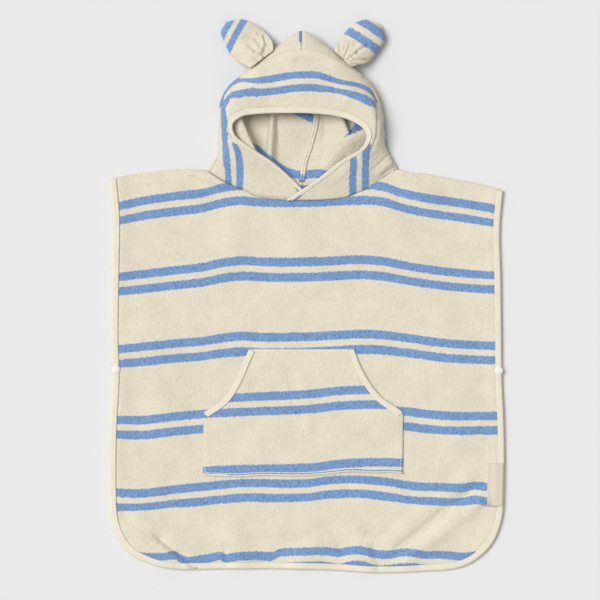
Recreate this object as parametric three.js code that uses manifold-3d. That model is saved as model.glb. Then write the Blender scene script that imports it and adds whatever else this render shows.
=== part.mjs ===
// Hooded bath poncho of striped terry towelling for a small child, laid flat on its back.
// Millimetres, +Z up, hood towards +Y, origin under the middle of the whole outline.
// Front and back panel lie on each other, each bound with tape round its sides and hem;
// the hood stands open on its own back, with two padded ears in its crown seam.
import * as THREE from 'three';
import { mergeVertices } from 'three/addons/utils/BufferGeometryUtils.js';
import Module from 'manifold-3d';

// Cloth and tape
const TERRY = 2.6;
const SEAM_GAP = 0.3;
const NECK_GAP = 1.3;
const HOOD_SEAM_GAP = 0.5;
const TAPE_WALL = 1.0;
const TAPE_WIDTH = 10;
const PRESSED_EDGE = 1.2;
const TAPE_HEIGHT = 2 * TAPE_WALL + 2 * SEAM_GAP + PRESSED_EDGE;
const CUT_EDGE = TAPE_WALL + SEAM_GAP;
const PRESSED_TO = TAPE_WIDTH + 1.8;
const FULL_FROM = 17;

// Heights of the layers over the surface
const BACK_FLOOR = 0;
const FRONT_FLOOR = TERRY + SEAM_GAP;
const POCKET_FLOOR = FRONT_FLOOR + TERRY + SEAM_GAP;
const BACK_TAPE = 0;
const FRONT_TAPE = TAPE_HEIGHT + SEAM_GAP;

// Outline of the body, seen from above, over the outer fold of its tape
const HEM_Y = -387;
const SHOULDER_TIP_LEFT_Y = 164;
const SHOULDER_TIP_RIGHT_Y = 148;
const CORNER_POWER = 2.2;
const LEFT_CORNER = { x: -178, y: -283, across: 98 };
const RIGHT_CORNER = { x: 181, y: -280, across: 96 };
const FRONT_SETBACK = 2;
const SIDES = [
  { down: 0, left: -277, right: 275.5 },
  { down: 0.12, left: -272.5, right: 271 },
  { down: 0.3, left: -273.5, right: 272.5 },
  { down: 0.5, left: -274.5, right: 273.5 },
  { down: 0.62, left: -273, right: 274 },
  { down: 0.75, left: -276, right: 276.5 },
  { down: 0.88, left: -277.5, right: 277.5 },
  { down: 1, left: -277, right: 276.5 },
];

// Upper edge of the panels: shoulder seams and neckline
const FRONT_TOP = [
  { x: -278, y: 163 }, { x: -270, y: 166.5 }, { x: -245, y: 171 }, { x: -215, y: 175 }, { x: -186, y: 178 },
  { x: -160, y: 177.5 }, { x: -141, y: 176 }, { x: -127, y: 167 }, { x: -115, y: 160 }, { x: -99, y: 153 },
  { x: -85, y: 147.5 }, { x: -71, y: 140.5 }, { x: -45, y: 136 }, { x: -10, y: 135 }, { x: 25, y: 136 },
  { x: 56, y: 139.5 }, { x: 70, y: 145 }, { x: 85, y: 151 }, { x: 97, y: 160 }, { x: 110, y: 169 },
  { x: 127, y: 178 }, { x: 140, y: 174 }, { x: 157, y: 173 }, { x: 176, y: 170.5 }, { x: 206, y: 164.5 },
  { x: 235, y: 159.5 }, { x: 265, y: 151.5 }, { x: 277, y: 147 },
];
const BACK_TOP = [
  { x: -278, y: 163 }, { x: -270, y: 166.5 }, { x: -245, y: 171 }, { x: -215, y: 175 }, { x: -186, y: 178 },
  { x: -160, y: 177.5 }, { x: -141, y: 176 }, { x: -110, y: 168 }, { x: -70, y: 159 }, { x: -40, y: 155.5 },
  { x: -6, y: 154.3 }, { x: 30, y: 156 }, { x: 65, y: 161 }, { x: 100, y: 171 }, { x: 127, y: 178 },
  { x: 140, y: 174 }, { x: 157, y: 173 }, { x: 176, y: 170.5 }, { x: 206, y: 164.5 },
  { x: 235, y: 159.5 }, { x: 265, y: 151.5 }, { x: 277, y: 147 },
];

// Soft ridges in the front panel; each one fades out across its spread
const FOLDS = [
  { name: 'left shoulder', fromX: -175, fromY: 172, toX: -118, toY: 150, spread: 15, height: 4.5 },
  { name: 'right shoulder', fromX: 138, fromY: 168, toX: 172, toY: 140, spread: 14, height: 4 },
  { name: 'right chest', fromX: 96, fromY: 140, toX: 150, toY: 60, spread: 24, height: 3 },
  { name: 'left chest', fromX: -92, fromY: 130, toX: -120, toY: 40, spread: 26, height: 3 },
  { name: 'breast', fromX: -20, fromY: 110, toX: -6, toY: 20, spread: 34, height: 2.5 },
  { name: 'left flank', fromX: -222, fromY: -60, toX: -200, toY: -190, spread: 28, height: 2.5 },
  { name: 'right flank', fromX: 196, fromY: -40, toX: 206, toY: -200, spread: 26, height: 2.5 },
  { name: 'left hem crease', fromX: -240, fromY: -318, toX: -168, toY: -368, spread: 18, height: 4.5 },
  { name: 'left hem', fromX: -92, fromY: -384, toX: -104, toY: -322, spread: 18, height: 4.5 },
  { name: 'middle hem', fromX: -12, fromY: -384, toX: 6, toY: -330, spread: 20, height: 5 },
  { name: 'right hem', fromX: 84, fromY: -384, toX: 70, toY: -318, spread: 18, height: 4.5 },
  { name: 'right hem fold', fromX: 146, fromY: -306, toX: 208, toY: -360, spread: 20, height: 5.5 },
  { name: 'right corner', fromX: 188, fromY: -286, toX: 240, toY: -330, spread: 14, height: 4 },
];

// Kangaroo pocket: its left and right edge from the top seam down the slanted mouths, and then down to its hem
const POCKET_COLUMNS = 10;
const POCKET_MOUTH = [
  { y: -73, left: -81, right: 66 },
  { y: -92, left: -89.5, right: 73 },
  { y: -110, left: -97, right: 82 },
  { y: -127, left: -106, right: 93 },
  { y: -141, left: -116, right: 106 },
  { y: -150, left: -127, right: 119 },
  { y: -156, left: -136, right: 128 },
  { y: -162, left: -144.5, right: 134 },
];
const POCKET_SIDE = [
  { y: -180, left: -144.5, right: 134 },
  { y: -210, left: -144.5, right: 134 },
  { y: -246, left: -145, right: 133.5 },
];

// Hood: one row for each section from the middle of its back, over the turn and the outer seam,
// to the face edge. The two halves meet in the crown row.
const HOOD = [
  { name: 'left neck', backX: -6, backY: 155, rollX: -138, rollY: 177, rollZ: 2.75,
    seamX: -135, seamY: 176, seamZ: 4.2, crestX: -83, crestY: 148, crestZ: 4.3, edgeX: 7, edgeY: 136, edgeZ: 4.8 },
  { name: 'left collar', backX: -6, backY: 169, rollX: -130, rollY: 188, rollZ: 6,
    seamX: -128, seamY: 188, seamZ: 9, crestX: -85, crestY: 174, crestZ: 13, edgeX: -12, edgeY: 156, edgeZ: 9 },
  { name: 'left jaw', backX: -3, backY: 188, rollX: -123, rollY: 202, rollZ: 8,
    seamX: -121, seamY: 202, seamZ: 12, crestX: -89, crestY: 196, crestZ: 22, edgeX: -42, edgeY: 183, edgeZ: 19 },
  { name: 'left cheek', backX: 3, backY: 206, rollX: -123, rollY: 218, rollZ: 9,
    seamX: -121, seamY: 219, seamZ: 14, crestX: -104, crestY: 213, crestZ: 26, edgeX: -71, edgeY: 202, edgeZ: 28 },
  { name: 'left temple', backX: 8, backY: 224, rollX: -122, rollY: 236, rollZ: 10,
    seamX: -121, seamY: 237, seamZ: 15, crestX: -113, crestY: 232, crestZ: 26, edgeX: -97, edgeY: 219, edgeZ: 33 },
  { name: 'left turn', backX: 12, backY: 241, rollX: -121, rollY: 255, rollZ: 12,
    seamX: -120, seamY: 256, seamZ: 17, crestX: -114, crestY: 254, crestZ: 31, edgeX: -103, edgeY: 238, edgeZ: 35.5 },
  { name: 'left brow', backX: 13, backY: 262, rollX: -118, rollY: 277, rollZ: 14,
    seamX: -117, seamY: 278, seamZ: 21, crestX: -104, crestY: 275, crestZ: 38, edgeX: -89, edgeY: 250, edgeZ: 35 },
  { name: 'left crown side', backX: 8, backY: 287, rollX: -103, rollY: 298, rollZ: 16,
    seamX: -100, seamY: 297, seamZ: 25, crestX: -82, crestY: 287, crestZ: 39, edgeX: -68, edgeY: 253, edgeZ: 36 },
  { name: 'left ear', backX: -4, backY: 315, rollX: -73, rollY: 322, rollZ: 18,
    seamX: -69, seamY: 320, seamZ: 30, crestX: -57, crestY: 300, crestZ: 39, edgeX: -46, edgeY: 254, edgeZ: 37 },
  { name: 'left crown', backX: -7, backY: 339, rollX: -40, rollY: 348, rollZ: 18,
    seamX: -36, seamY: 337, seamZ: 34, crestX: -31, crestY: 306, crestZ: 40, edgeX: -24, edgeY: 254, edgeZ: 38 },
  { name: 'crown', backX: -7, backY: 354, rollX: -7, rollY: 369, rollZ: 18,
    seamX: -7, seamY: 342, seamZ: 37, crestX: -7, crestY: 302, crestZ: 41, edgeX: -6, edgeY: 254, edgeZ: 38 },
  { name: 'right crown', backX: -7, backY: 339, rollX: 26, rollY: 349, rollZ: 18,
    seamX: 22, seamY: 338, seamZ: 34, crestX: 18, crestY: 304, crestZ: 40, edgeX: 14, edgeY: 253, edgeZ: 38 },
  { name: 'right ear', backX: -4, backY: 315, rollX: 58, rollY: 322, rollZ: 18,
    seamX: 54, seamY: 320, seamZ: 30, crestX: 43, crestY: 298, crestZ: 39, edgeX: 34, edgeY: 251, edgeZ: 37 },
  { name: 'right crown side', backX: 8, backY: 287, rollX: 86, rollY: 298, rollZ: 16,
    seamX: 83, seamY: 296, seamZ: 25, crestX: 68, crestY: 284, crestZ: 39, edgeX: 52, edgeY: 247, edgeZ: 36 },
  { name: 'right brow', backX: 13, backY: 262, rollX: 100, rollY: 273, rollZ: 14,
    seamX: 98, seamY: 272, seamZ: 21, crestX: 87, crestY: 268, crestZ: 38, edgeX: 68, edgeY: 240, edgeZ: 36 },
  { name: 'right turn', backX: 12, backY: 241, rollX: 105, rollY: 250, rollZ: 12,
    seamX: 104, seamY: 249, seamZ: 18, crestX: 96, crestY: 247, crestZ: 37, edgeX: 79, edgeY: 231, edgeZ: 36 },
  { name: 'right temple', backX: 8, backY: 224, rollX: 107, rollY: 226, rollZ: 10,
    seamX: 106, seamY: 226, seamZ: 16, crestX: 97, crestY: 227, crestZ: 36, edgeX: 82, edgeY: 219, edgeZ: 36 },
  { name: 'right cheek', backX: 3, backY: 206, rollX: 110, rollY: 206, rollZ: 9,
    seamX: 109, seamY: 206, seamZ: 14, crestX: 92, crestY: 208, crestZ: 32, edgeX: 72, edgeY: 203, edgeZ: 33 },
  { name: 'right jaw', backX: -3, backY: 188, rollX: 116, rollY: 193, rollZ: 8,
    seamX: 115, seamY: 193, seamZ: 12, crestX: 84, crestY: 190, crestZ: 24, edgeX: 46, edgeY: 188, edgeZ: 26 },
  { name: 'right collar', backX: -6, backY: 169, rollX: 122, rollY: 185, rollZ: 6,
    seamX: 120, seamY: 185, seamZ: 9, crestX: 78, crestY: 170, crestZ: 15, edgeX: 12, edgeY: 162, edgeZ: 18 },
  { name: 'right neck', backX: -6, backY: 155, rollX: 126, rollY: 179, rollZ: 2.75,
    seamX: 123, seamY: 178, seamZ: 4.2, crestX: 44, crestY: 138, crestZ: 6.6, edgeX: -29, edgeY: 135, edgeZ: 9.8 },
];
const CROWN_ROW = 10;
const STEPS_PER_ROW = 3;
const BACK_SHARES = [0, 0.3, 0.6, 0.8, 0.87, 0.92, 0.96, 1];
const BAND_SHARES = [0, 0.14, 0.28, 0.43, 0.58, 0.72, 0.86, 1];

// Ears: a row for each section from the seam to the tip, sides seen from the base
const EAR_LEFT = {
  baseX: -69.5, baseY: 328.5, axisX: -0.612, axisY: 0.791,
  sections: [
    { along: -4.2, left: -14, right: 25, under: 28.8, over: 36 },
    { along: 6, left: -18, right: 32, under: 20, over: 34 },
    { along: 14, left: -21, right: 33.5, under: 7, over: 31 },
    { along: 28, left: -23.5, right: 33, under: -2, over: 27 },
    { along: 41, left: -22, right: 30, under: -2, over: 25 },
    { along: 51, left: -19.5, right: 25, under: -1, over: 23 },
    { along: 60, left: -17, right: 19, under: 1, over: 20 },
    { along: 67, left: -13, right: 10, under: 4, over: 16 },
  ],
  tip: { along: 70.5, side: -1, z: 10 },
};
const EAR_RIGHT = {
  baseX: 50.5, baseY: 329.5, axisX: 0.702, axisY: 0.712,
  sections: [
    { along: -1.5, left: -16, right: 14, under: 28, over: 35.5 },
    { along: 7, left: -21.5, right: 20, under: 19, over: 34 },
    { along: 16, left: -25, right: 25, under: 6, over: 31 },
    { along: 32, left: -26, right: 26, under: -2, over: 27 },
    { along: 44, left: -26, right: 24.5, under: -2, over: 25 },
    { along: 54, left: -23.5, right: 23, under: -1, over: 23 },
    { along: 63, left: -18, right: 19.5, under: 1, over: 20 },
    { along: 69, left: -11, right: 12, under: 4, over: 16 },
  ],
  tip: { along: 72.5, side: 0, z: 10 },
};
const EAR_SIDES = 14;

// Snap fasteners on the side tapes
const SNAP_Y = -101;
const SNAP_INSET = 6.2;
const SNAP_SEGMENTS = 16;
const CAP_RADIUS = 6;
const CAP_HEIGHT = 2.4;
const CAP_RIM = 0.7;
const POST_RADIUS = 2.5;
const SOCKET_RADIUS = 1.6;
const SOCKET_ROOF = 1;
const STUD_RADIUS = 1.3;
const STUD_REACH = 2.4;
const STUD_BEVEL = 0.2;
const SHANK_RADIUS = 2;
const BACK_CAP_RADIUS = 3.9;
const BACK_CAP_HEIGHT = TAPE_WALL - 0.1;
const HOLE_CLEARANCE = 0.4;

// Label, a bare woven tape over the right edge
const LABEL_TOP_Y = -232;
const LABEL_FOOT_Y = -292;
const LABEL_WALL = 1.0;
const LABEL_FROM = 1.5;
const LABEL_TO = 23;
const LABEL_STEPS = 5;

const CREAM = '#e3dac5';
const TAPE_COLOUR = '#f0ead8';
const LABEL_COLOUR = '#ece1d2';
const SNAP_COLOUR = '#f6f4ec';

// A smooth function through the rows of a table
function through(rows, input, output) {
  const slope = (a, b) => (rows[b][output] - rows[a][output]) / (rows[b][input] - rows[a][input]);
  return (at) => {
    let row = 0;
    while (row < rows.length - 2 && at > rows[row + 1][input]) row += 1;
    const start = rows[row][input];
    const span = rows[row + 1][input] - start;
    const t = (at - start) / span;
    const slopeIn = slope(Math.max(row - 1, 0), row + 1) * span;
    const slopeOut = slope(row, Math.min(row + 2, rows.length - 1)) * span;
    const from = rows[row][output];
    const to = rows[row + 1][output];
    return from * (1 + 2 * t) * (1 - t) ** 2 + slopeIn * t * (1 - t) ** 2
      + to * t * t * (3 - 2 * t) + slopeOut * t * t * (t - 1);
  };
}

// How far the folds lift the front panel
function rise(x, y) {
  let height = 0;
  for (const fold of FOLDS) {
    const alongX = fold.toX - fold.fromX;
    const alongY = fold.toY - fold.fromY;
    const part = ((x - fold.fromX) * alongX + (y - fold.fromY) * alongY) / (alongX ** 2 + alongY ** 2);
    const near = Math.min(1, Math.max(0, part));
    const away = Math.hypot(x - fold.fromX - near * alongX, y - fold.fromY - near * alongY);
    height += fold.height * Math.exp(-((away / fold.spread) ** 2));
  }
  return height;
}

// Closed geometry from corner points and faces
function geometryOf(points, faces) {
  const geometry = new THREE.BufferGeometry();
  geometry.setAttribute('position', new THREE.Float32BufferAttribute(points.flatMap((p) => [p.x, p.y, p.z]), 3));
  geometry.setIndex(faces.flat());
  return geometry;
}

// A wall of cloth: a sheet of faces over its lower points, with a rim along every open edge
function wall(over, under, faces) {
  const count = over.length;
  const open = new Map();
  for (const [a, b, c] of faces) {
    for (const [from, to] of [[a, b], [b, c], [c, a]]) {
      if (!open.delete(`${to},${from}`)) open.set(`${from},${to}`, [from, to]);
    }
  }
  const closed = [...faces, ...faces.map(([a, b, c]) => [c + count, b + count, a + count])];
  for (const [from, to] of open.values()) {
    closed.push([to, from, from + count], [to, from + count, to + count]);
  }
  return faceOutward(geometryOf([...over, ...under], closed));
}

// Faces of a grid whose points are numbered row by row
function gridFaces(rows, columns) {
  const faces = [];
  for (let row = 0; row < rows; row += 1) {
    for (let column = 0; column < columns; column += 1) {
      const a = row * (columns + 1) + column;
      const b = a + columns + 1;
      faces.push([a, b, b + 1], [a, b + 1, a + 1]);
    }
  }
  return faces;
}

// A solid lofted through rings of equal count, closed at both ends on a middle point
function loft(rings, first, last) {
  const count = rings[0].length;
  const points = [...rings.flat(), first, last];
  const firstIndex = points.length - 2;
  const lastIndex = points.length - 1;
  const faces = [];
  for (let ring = 0; ring < rings.length; ring += 1) {
    for (let side = 0; side < count; side += 1) {
      const a = ring * count + side;
      const b = ring * count + (side + 1) % count;
      if (ring === 0) faces.push([firstIndex, b, a]);
      if (ring < rings.length - 1) faces.push([a, b, b + count], [a, b + count, a + count]);
      else faces.push([a, b, lastIndex]);
    }
  }
  return faceOutward(geometryOf(points, faces));
}

// Turn a closed geometry's faces out if its volume comes out negative
function faceOutward(geometry) {
  const place = geometry.attributes.position;
  const index = geometry.index.array;
  const corner = (i) => new THREE.Vector3().fromBufferAttribute(place, index[i]);
  let volume = 0;
  for (let i = 0; i < index.length; i += 3) volume += corner(i).dot(corner(i + 1).cross(corner(i + 2)));
  if (volume < 0) {
    for (let i = 0; i < index.length; i += 3) [index[i], index[i + 1]] = [index[i + 1], index[i]];
  }
  return geometry;
}

// Binding tape folded round a cut edge: each place has the cut edge, the way out of the cloth and its upper side
const FOLD_FLAT_FROM = 1.6;
const FOLD_BEND_INWARD = 0.3;
const FOLD_BEND_HEIGHT = 0.8;
const TAPE_SECTION = [
  { inward: TAPE_WIDTH, height: 0 }, { inward: FOLD_FLAT_FROM, height: 0 },
  { inward: FOLD_BEND_INWARD, height: FOLD_BEND_HEIGHT }, { inward: 0, height: TAPE_HEIGHT / 2 },
  { inward: FOLD_BEND_INWARD, height: TAPE_HEIGHT - FOLD_BEND_HEIGHT },
  { inward: FOLD_FLAT_FROM, height: TAPE_HEIGHT }, { inward: TAPE_WIDTH, height: TAPE_HEIGHT },
  { inward: TAPE_WIDTH, height: TAPE_HEIGHT - TAPE_WALL }, { inward: TAPE_WALL, height: TAPE_HEIGHT - TAPE_WALL },
  { inward: TAPE_WALL, height: TAPE_WALL }, { inward: TAPE_WIDTH, height: TAPE_WALL },
];
function foldedTape(places) {
  const count = TAPE_SECTION.length;
  const points = places.flatMap(({ cut, out, up }) => TAPE_SECTION.map(({ inward, height }) => cut.clone()
    .addScaledVector(out, CUT_EDGE - inward)
    .addScaledVector(up, height - TAPE_HEIGHT / 2)));
  const faces = [];
  for (let place = 0; place < places.length - 1; place += 1) {
    for (let side = 0; side < count; side += 1) {
      const next = (side + 1) % count;
      const a = place * count + side;
      const b = place * count + next;
      const goesInward = TAPE_SECTION[next].inward > TAPE_SECTION[side].inward;
      if (goesInward) faces.push([a, b, a + count], [b, b + count, a + count]);
      else faces.push([a, b, b + count], [a, b + count, a + count]);
    }
  }
  const flat = TAPE_SECTION.map(({ inward, height }) => new THREE.Vector2(inward, height));
  const end = (places.length - 1) * count;
  for (const [a, b, c] of THREE.ShapeUtils.triangulateShape(flat, [])) {
    faces.push([a, b, c], [a + end, c + end, b + end]);
  }
  return faceOutward(geometryOf(points, faces));
}

// Body panels: side and corner places run from the shoulder tip to the end of the hem corner
function sidePlaces(side, setback, straightSteps, cornerSteps) {
  const corner = side === 'left' ? LEFT_CORNER : RIGHT_CORNER;
  const tipY = side === 'left' ? SHOULDER_TIP_LEFT_Y : SHOULDER_TIP_RIGHT_Y;
  const outwards = side === 'left' ? -1 : 1;
  const edge = through(SIDES, 'down', side);
  const places = [];
  for (let step = 0; step < straightSteps; step += 1) {
    const down = step / straightSteps;
    places.push(new THREE.Vector2(edge(down) - outwards * setback, tipY + (corner.y - tipY) * down));
  }
  for (let step = 0; step <= cornerSteps; step += 1) {
    const angle = (step / cornerSteps) * Math.PI / 2;
    const across = Math.max(0, Math.cos(angle)) ** (2 / CORNER_POWER) * (corner.across - setback);
    const depth = Math.sin(angle) ** (2 / CORNER_POWER) * (corner.y - HEM_Y - setback);
    places.push(new THREE.Vector2(corner.x + outwards * across, corner.y - depth));
  }
  return places;
}

// The point at a distance to the left of a line's corner, square to both of its legs
function mitred(before, corner, after, distance) {
  const legIn = corner.clone().sub(before).normalize();
  const legOut = after.clone().sub(corner).normalize();
  const scale = distance / (1 + legIn.dot(legOut));
  return new THREE.Vector2(corner.x - (legIn.y + legOut.y) * scale, corner.y + (legIn.x + legOut.x) * scale);
}

// Points at a distance inside an outline; the two ends run along the upper edge of the panel
function inset(outline, distance, topEdge) {
  return outline.map((point, index) => {
    if (index === 0 || index === outline.length - 1) {
      const x = point.x + (index === 0 ? distance : -distance);
      return new THREE.Vector2(x, topEdge(x));
    }
    return mitred(outline[index - 1], point, outline[index + 1], distance);
  });
}

// A grid between four edge lines, blended so that its border is exactly those lines
function blendedGrid(top, hem, left, right) {
  const rows = left.length - 1;
  const columns = top.length - 1;
  const grid = [];
  for (let row = 0; row <= rows; row += 1) {
    const down = (left[0].y - left[row].y) / (left[0].y - left[rows].y);
    for (let column = 0; column <= columns; column += 1) {
      const over = column / columns;
      const point = left[row].clone().lerp(right[row], over);
      const fromTop = top[column].clone().sub(top[0].clone().lerp(top[columns], over));
      const fromHem = hem[column].clone().sub(hem[0].clone().lerp(hem[columns], over));
      grid.push(point.addScaledVector(fromTop, 1 - down).addScaledVector(fromHem, down));
    }
  }
  return grid;
}

// Cloth of full thickness on its layer, and pressed thin where the tape grips it
function fullCloth(points, floor, lift) {
  return points.map((p) => {
    const under = floor + lift(p.x, p.y);
    return { over: new THREE.Vector3(p.x, p.y, under + TERRY), under: new THREE.Vector3(p.x, p.y, under) };
  });
}
function pressedCloth(points, tapeFloor, lift) {
  return points.map((p) => {
    const under = tapeFloor + TAPE_WALL + SEAM_GAP + lift(p.x, p.y);
    return { over: new THREE.Vector3(p.x, p.y, under + PRESSED_EDGE), under: new THREE.Vector3(p.x, p.y, under) };
  });
}

// Faces that join a line of existing points to two new lines on its right
function borderFaces(line, pressedStart, cutStart) {
  const faces = [];
  for (let i = 0; i < line.length - 1; i += 1) {
    const pressed = pressedStart + i;
    const cut = cutStart + i;
    faces.push([line[i], pressed + 1, line[i + 1]], [line[i], pressed, pressed + 1]);
    faces.push([pressed, cut + 1, pressed + 1], [pressed, cut, cut + 1]);
  }
  return faces;
}

// A place on the tape: the cut edge, the way out of the cloth and the cloth's upper side
function tapePlace(cut, inside, towards) {
  const out = cut.clone().sub(inside).normalize();
  const up = towards.clone().addScaledVector(out, -towards.dot(out)).normalize();
  return { cut, out, up };
}
function flatTapePlaces(cutLine, pressedLine) {
  const middle = ({ over, under }) => over.clone().lerp(under, 0.5);
  return cutLine.map((cloth, index) => (
    tapePlace(middle(cloth), middle(pressedLine[index]), new THREE.Vector3(0, 0, 1))));
}

// One body panel and its tape
function bodyPanel({ topEdge, setback, floor, tapeFloor, lift, columns, straightSteps, cornerSteps }) {
  const left = sidePlaces('left', setback, straightSteps, cornerSteps);
  const right = sidePlaces('right', setback, straightSteps, cornerSteps);
  const rows = left.length - 1;
  const hem = [];
  for (let column = 1; column < columns; column += 1) {
    hem.push(left[rows].clone().lerp(right[rows], column / columns));
  }
  const outline = [...left, ...hem, ...right.toReversed()];
  const inner = inset(outline, FULL_FROM, topEdge);
  const pressed = inset(outline, PRESSED_TO, topEdge);
  const cut = inset(outline, CUT_EDGE, topEdge);
  const innerLeft = inner.slice(0, rows + 1);
  const innerHem = inner.slice(rows, rows + columns + 1);
  const innerRight = inner.slice(rows + columns).toReversed();
  const top = innerHem.map((point, column) => {
    const x = THREE.MathUtils.lerp(innerLeft[0].x, innerRight[0].x, column / columns);
    return new THREE.Vector2(x, topEdge(x));
  });
  const grid = blendedGrid(top, innerHem, innerLeft, innerRight);
  const line = outline.map((point, index) => {
    if (index <= rows) return index * (columns + 1);
    if (index < rows + columns) return rows * (columns + 1) + index - rows;
    return (2 * rows + columns - index) * (columns + 1) + columns;
  });
  const pressedLine = pressedCloth(pressed, tapeFloor, lift);
  const cutLine = pressedCloth(cut, tapeFloor, lift);
  const cloth = [...fullCloth(grid, floor, lift), ...pressedLine, ...cutLine];
  const faces = [...gridFaces(rows, columns), ...borderFaces(line, grid.length, grid.length + line.length)];
  return {
    cloth: wall(cloth.map((p) => p.over), cloth.map((p) => p.under), faces),
    tape: foldedTape(flatTapePlaces(cutLine, pressedLine)),
  };
}

// The pocket lies on the front panel, with tape round its two mouths
function pocketPieces() {
  const places = [...POCKET_MOUTH, ...POCKET_SIDE];
  const columns = POCKET_COLUMNS;
  const rows = places.length - 1;
  const left = places.map((row) => new THREE.Vector2(row.left, row.y));
  const right = places.map((row) => new THREE.Vector2(row.right, row.y));
  const mouthEnd = POCKET_MOUTH.length - 1;
  const insetSide = (outline, distance, inwards) => outline.map((point, index) => {
    if (index === 0 || index === rows) return new THREE.Vector2(point.x + inwards * distance, point.y);
    return mitred(outline[index - 1], point, outline[index + 1], inwards * distance);
  });
  const cutAt = (index) => (index <= mouthEnd ? CUT_EDGE : 0);
  const sides = [{ outline: left, inwards: 1 }, { outline: right, inwards: -1 }].map(({ outline, inwards }) => ({
    inner: insetSide(outline, FULL_FROM, inwards),
    pressed: insetSide(outline, PRESSED_TO, inwards),
    cut: insetSide(outline, CUT_EDGE, inwards).map((point, index) => (cutAt(index) > 0 ? point : outline[index])),
  }));
  const across = (from, to) => Array.from({ length: columns + 1 }, (_, i) => from.clone().lerp(to, i / columns));
  const top = across(sides[0].inner[0], sides[1].inner[0]);
  const hem = across(sides[0].inner[rows], sides[1].inner[rows]);
  const grid = blendedGrid(top, hem, sides[0].inner, sides[1].inner);
  const cloth = fullCloth(grid, POCKET_FLOOR, rise);
  const faces = gridFaces(rows, columns);
  const tapes = sides.map(({ pressed, cut }, side) => {
    const lay = (points) => points.map((point, index) => (index <= mouthEnd
      ? pressedCloth([point], POCKET_FLOOR, rise)[0] : fullCloth([point], POCKET_FLOOR, rise)[0]));
    const pressedLine = lay(pressed);
    const cutLine = lay(cut);
    const line = places.map((_, row) => row * (columns + 1) + side * columns);
    const border = borderFaces(line, cloth.length, cloth.length + line.length);
    faces.push(...(side === 0 ? border : border.map(([a, b, c]) => [a, c, b])));
    cloth.push(...pressedLine, ...cutLine);
    return foldedTape(flatTapePlaces(cutLine.slice(0, mouthEnd), pressedLine.slice(0, mouthEnd)));
  });
  return { cloth: wall(cloth.map((p) => p.over), cloth.map((p) => p.under), faces), left: tapes[0], right: tapes[1] };
}

// Hood: the section line at any place between the rows of its table
const frontTop = through(FRONT_TOP, 'x', 'y');
const backTop = through(BACK_TOP, 'x', 'y');
const HOOD_ROWS = HOOD.map((row, place) => ({ ...row, place }));
const hoodValue = Object.fromEntries(Object.keys(HOOD[0]).filter((key) => key !== 'name')
  .map((key) => [key, through(HOOD_ROWS, 'place', key)]));
const SECTION_SAMPLES = 120;
const LIFT_OFF = 0.02;
const SEAM_SHARE = 4 / 6;
function hoodSection(place) {
  const at = (key) => hoodValue[key](place);
  const back = new THREE.Vector3(at('backX'), at('backY'), TERRY / 2);
  const roll = new THREE.Vector3(at('rollX'), at('rollY'), at('rollZ'));
  const flat = new THREE.Vector3(roll.x, roll.y, TERRY / 2);
  const reach = flat.distanceTo(back);
  const turn = flat.clone().lerp(back, Math.min(0.4, 0.9 * (roll.z - TERRY / 2) / reach));
  const curve = new THREE.CatmullRomCurve3([
    back,
    back.clone().lerp(turn, 0.6),
    turn,
    roll,
    new THREE.Vector3(at('seamX'), at('seamY'), at('seamZ')),
    new THREE.Vector3(at('crestX'), at('crestY'), at('crestZ')),
    new THREE.Vector3(at('edgeX'), at('edgeY'), at('edgeZ')),
  ], false, 'centripetal');
  const lengths = curve.getLengths(SECTION_SAMPLES);
  const total = lengths[SECTION_SAMPLES];
  const seam = lengths[Math.round(SEAM_SHARE * SECTION_SAMPLES)];
  return {
    seam,
    total,
    at: (length) => {
      const point = curve.getPointAt(Math.min(1, Math.max(0, length / total)));
      point.z = Math.max(point.z, TERRY / 2);
      return point;
    },
  };
}

// Lengths along a section where the cloth of the back and of the front band has its points
function backLengths({ seam }) {
  return BACK_SHARES.map((share) => share * (seam - HOOD_SEAM_GAP / 2));
}
function bandLengths({ seam, total }) {
  const start = seam + HOOD_SEAM_GAP / 2;
  const full = total - FULL_FROM;
  return BAND_SHARES.map((share) => start + share * (full - start))
    .concat(total - PRESSED_TO, total - CUT_EDGE);
}

// Mid points of the hood's cloth with the way square to it
function hoodGrid(from, to, lengthsOf) {
  const steps = Math.round((to - from) * STEPS_PER_ROW);
  const nudge = 0.05;
  const grid = [];
  for (let step = 0; step <= steps; step += 1) {
    const place = from + step / STEPS_PER_ROW;
    const section = hoodSection(place);
    const before = hoodSection(Math.max(from, place - nudge));
    const after = hoodSection(Math.min(to, place + nudge));
    const reach = lengthsOf(section);
    const reachBefore = lengthsOf(before);
    const reachAfter = lengthsOf(after);
    grid.push(reach.map((length, index) => {
      const mid = section.at(length);
      const along = after.at(reachAfter[index]).sub(before.at(reachBefore[index]));
      const across = section.at(length + 0.5).sub(section.at(length - 0.5));
      const square = along.cross(across).normalize().negate();
      const flat = mid.z < TERRY / 2 + LIFT_OFF;
      return { mid, square: flat ? new THREE.Vector3(0, 0, -1) : square };
    }));
  }
  return grid;
}

// The lowest rows of the hood follow the neckline of the panels
function seatOnNeckline(row, edge) {
  for (const point of row) point.mid.y = edge(point.mid.x) + NECK_GAP;
}

// A wall of the hood from its mid points and a thickness for each column
function hoodWall(grid, thickness) {
  const points = grid.flatMap((row) => row.map(({ mid, square }, column) => ({
    over: mid.clone().addScaledVector(square, thickness(column) / 2),
    under: mid.clone().addScaledVector(square, -thickness(column) / 2),
  })));
  return wall(points.map((p) => p.over), points.map((p) => p.under), gridFaces(grid.length - 1, grid[0].length - 1));
}

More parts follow.
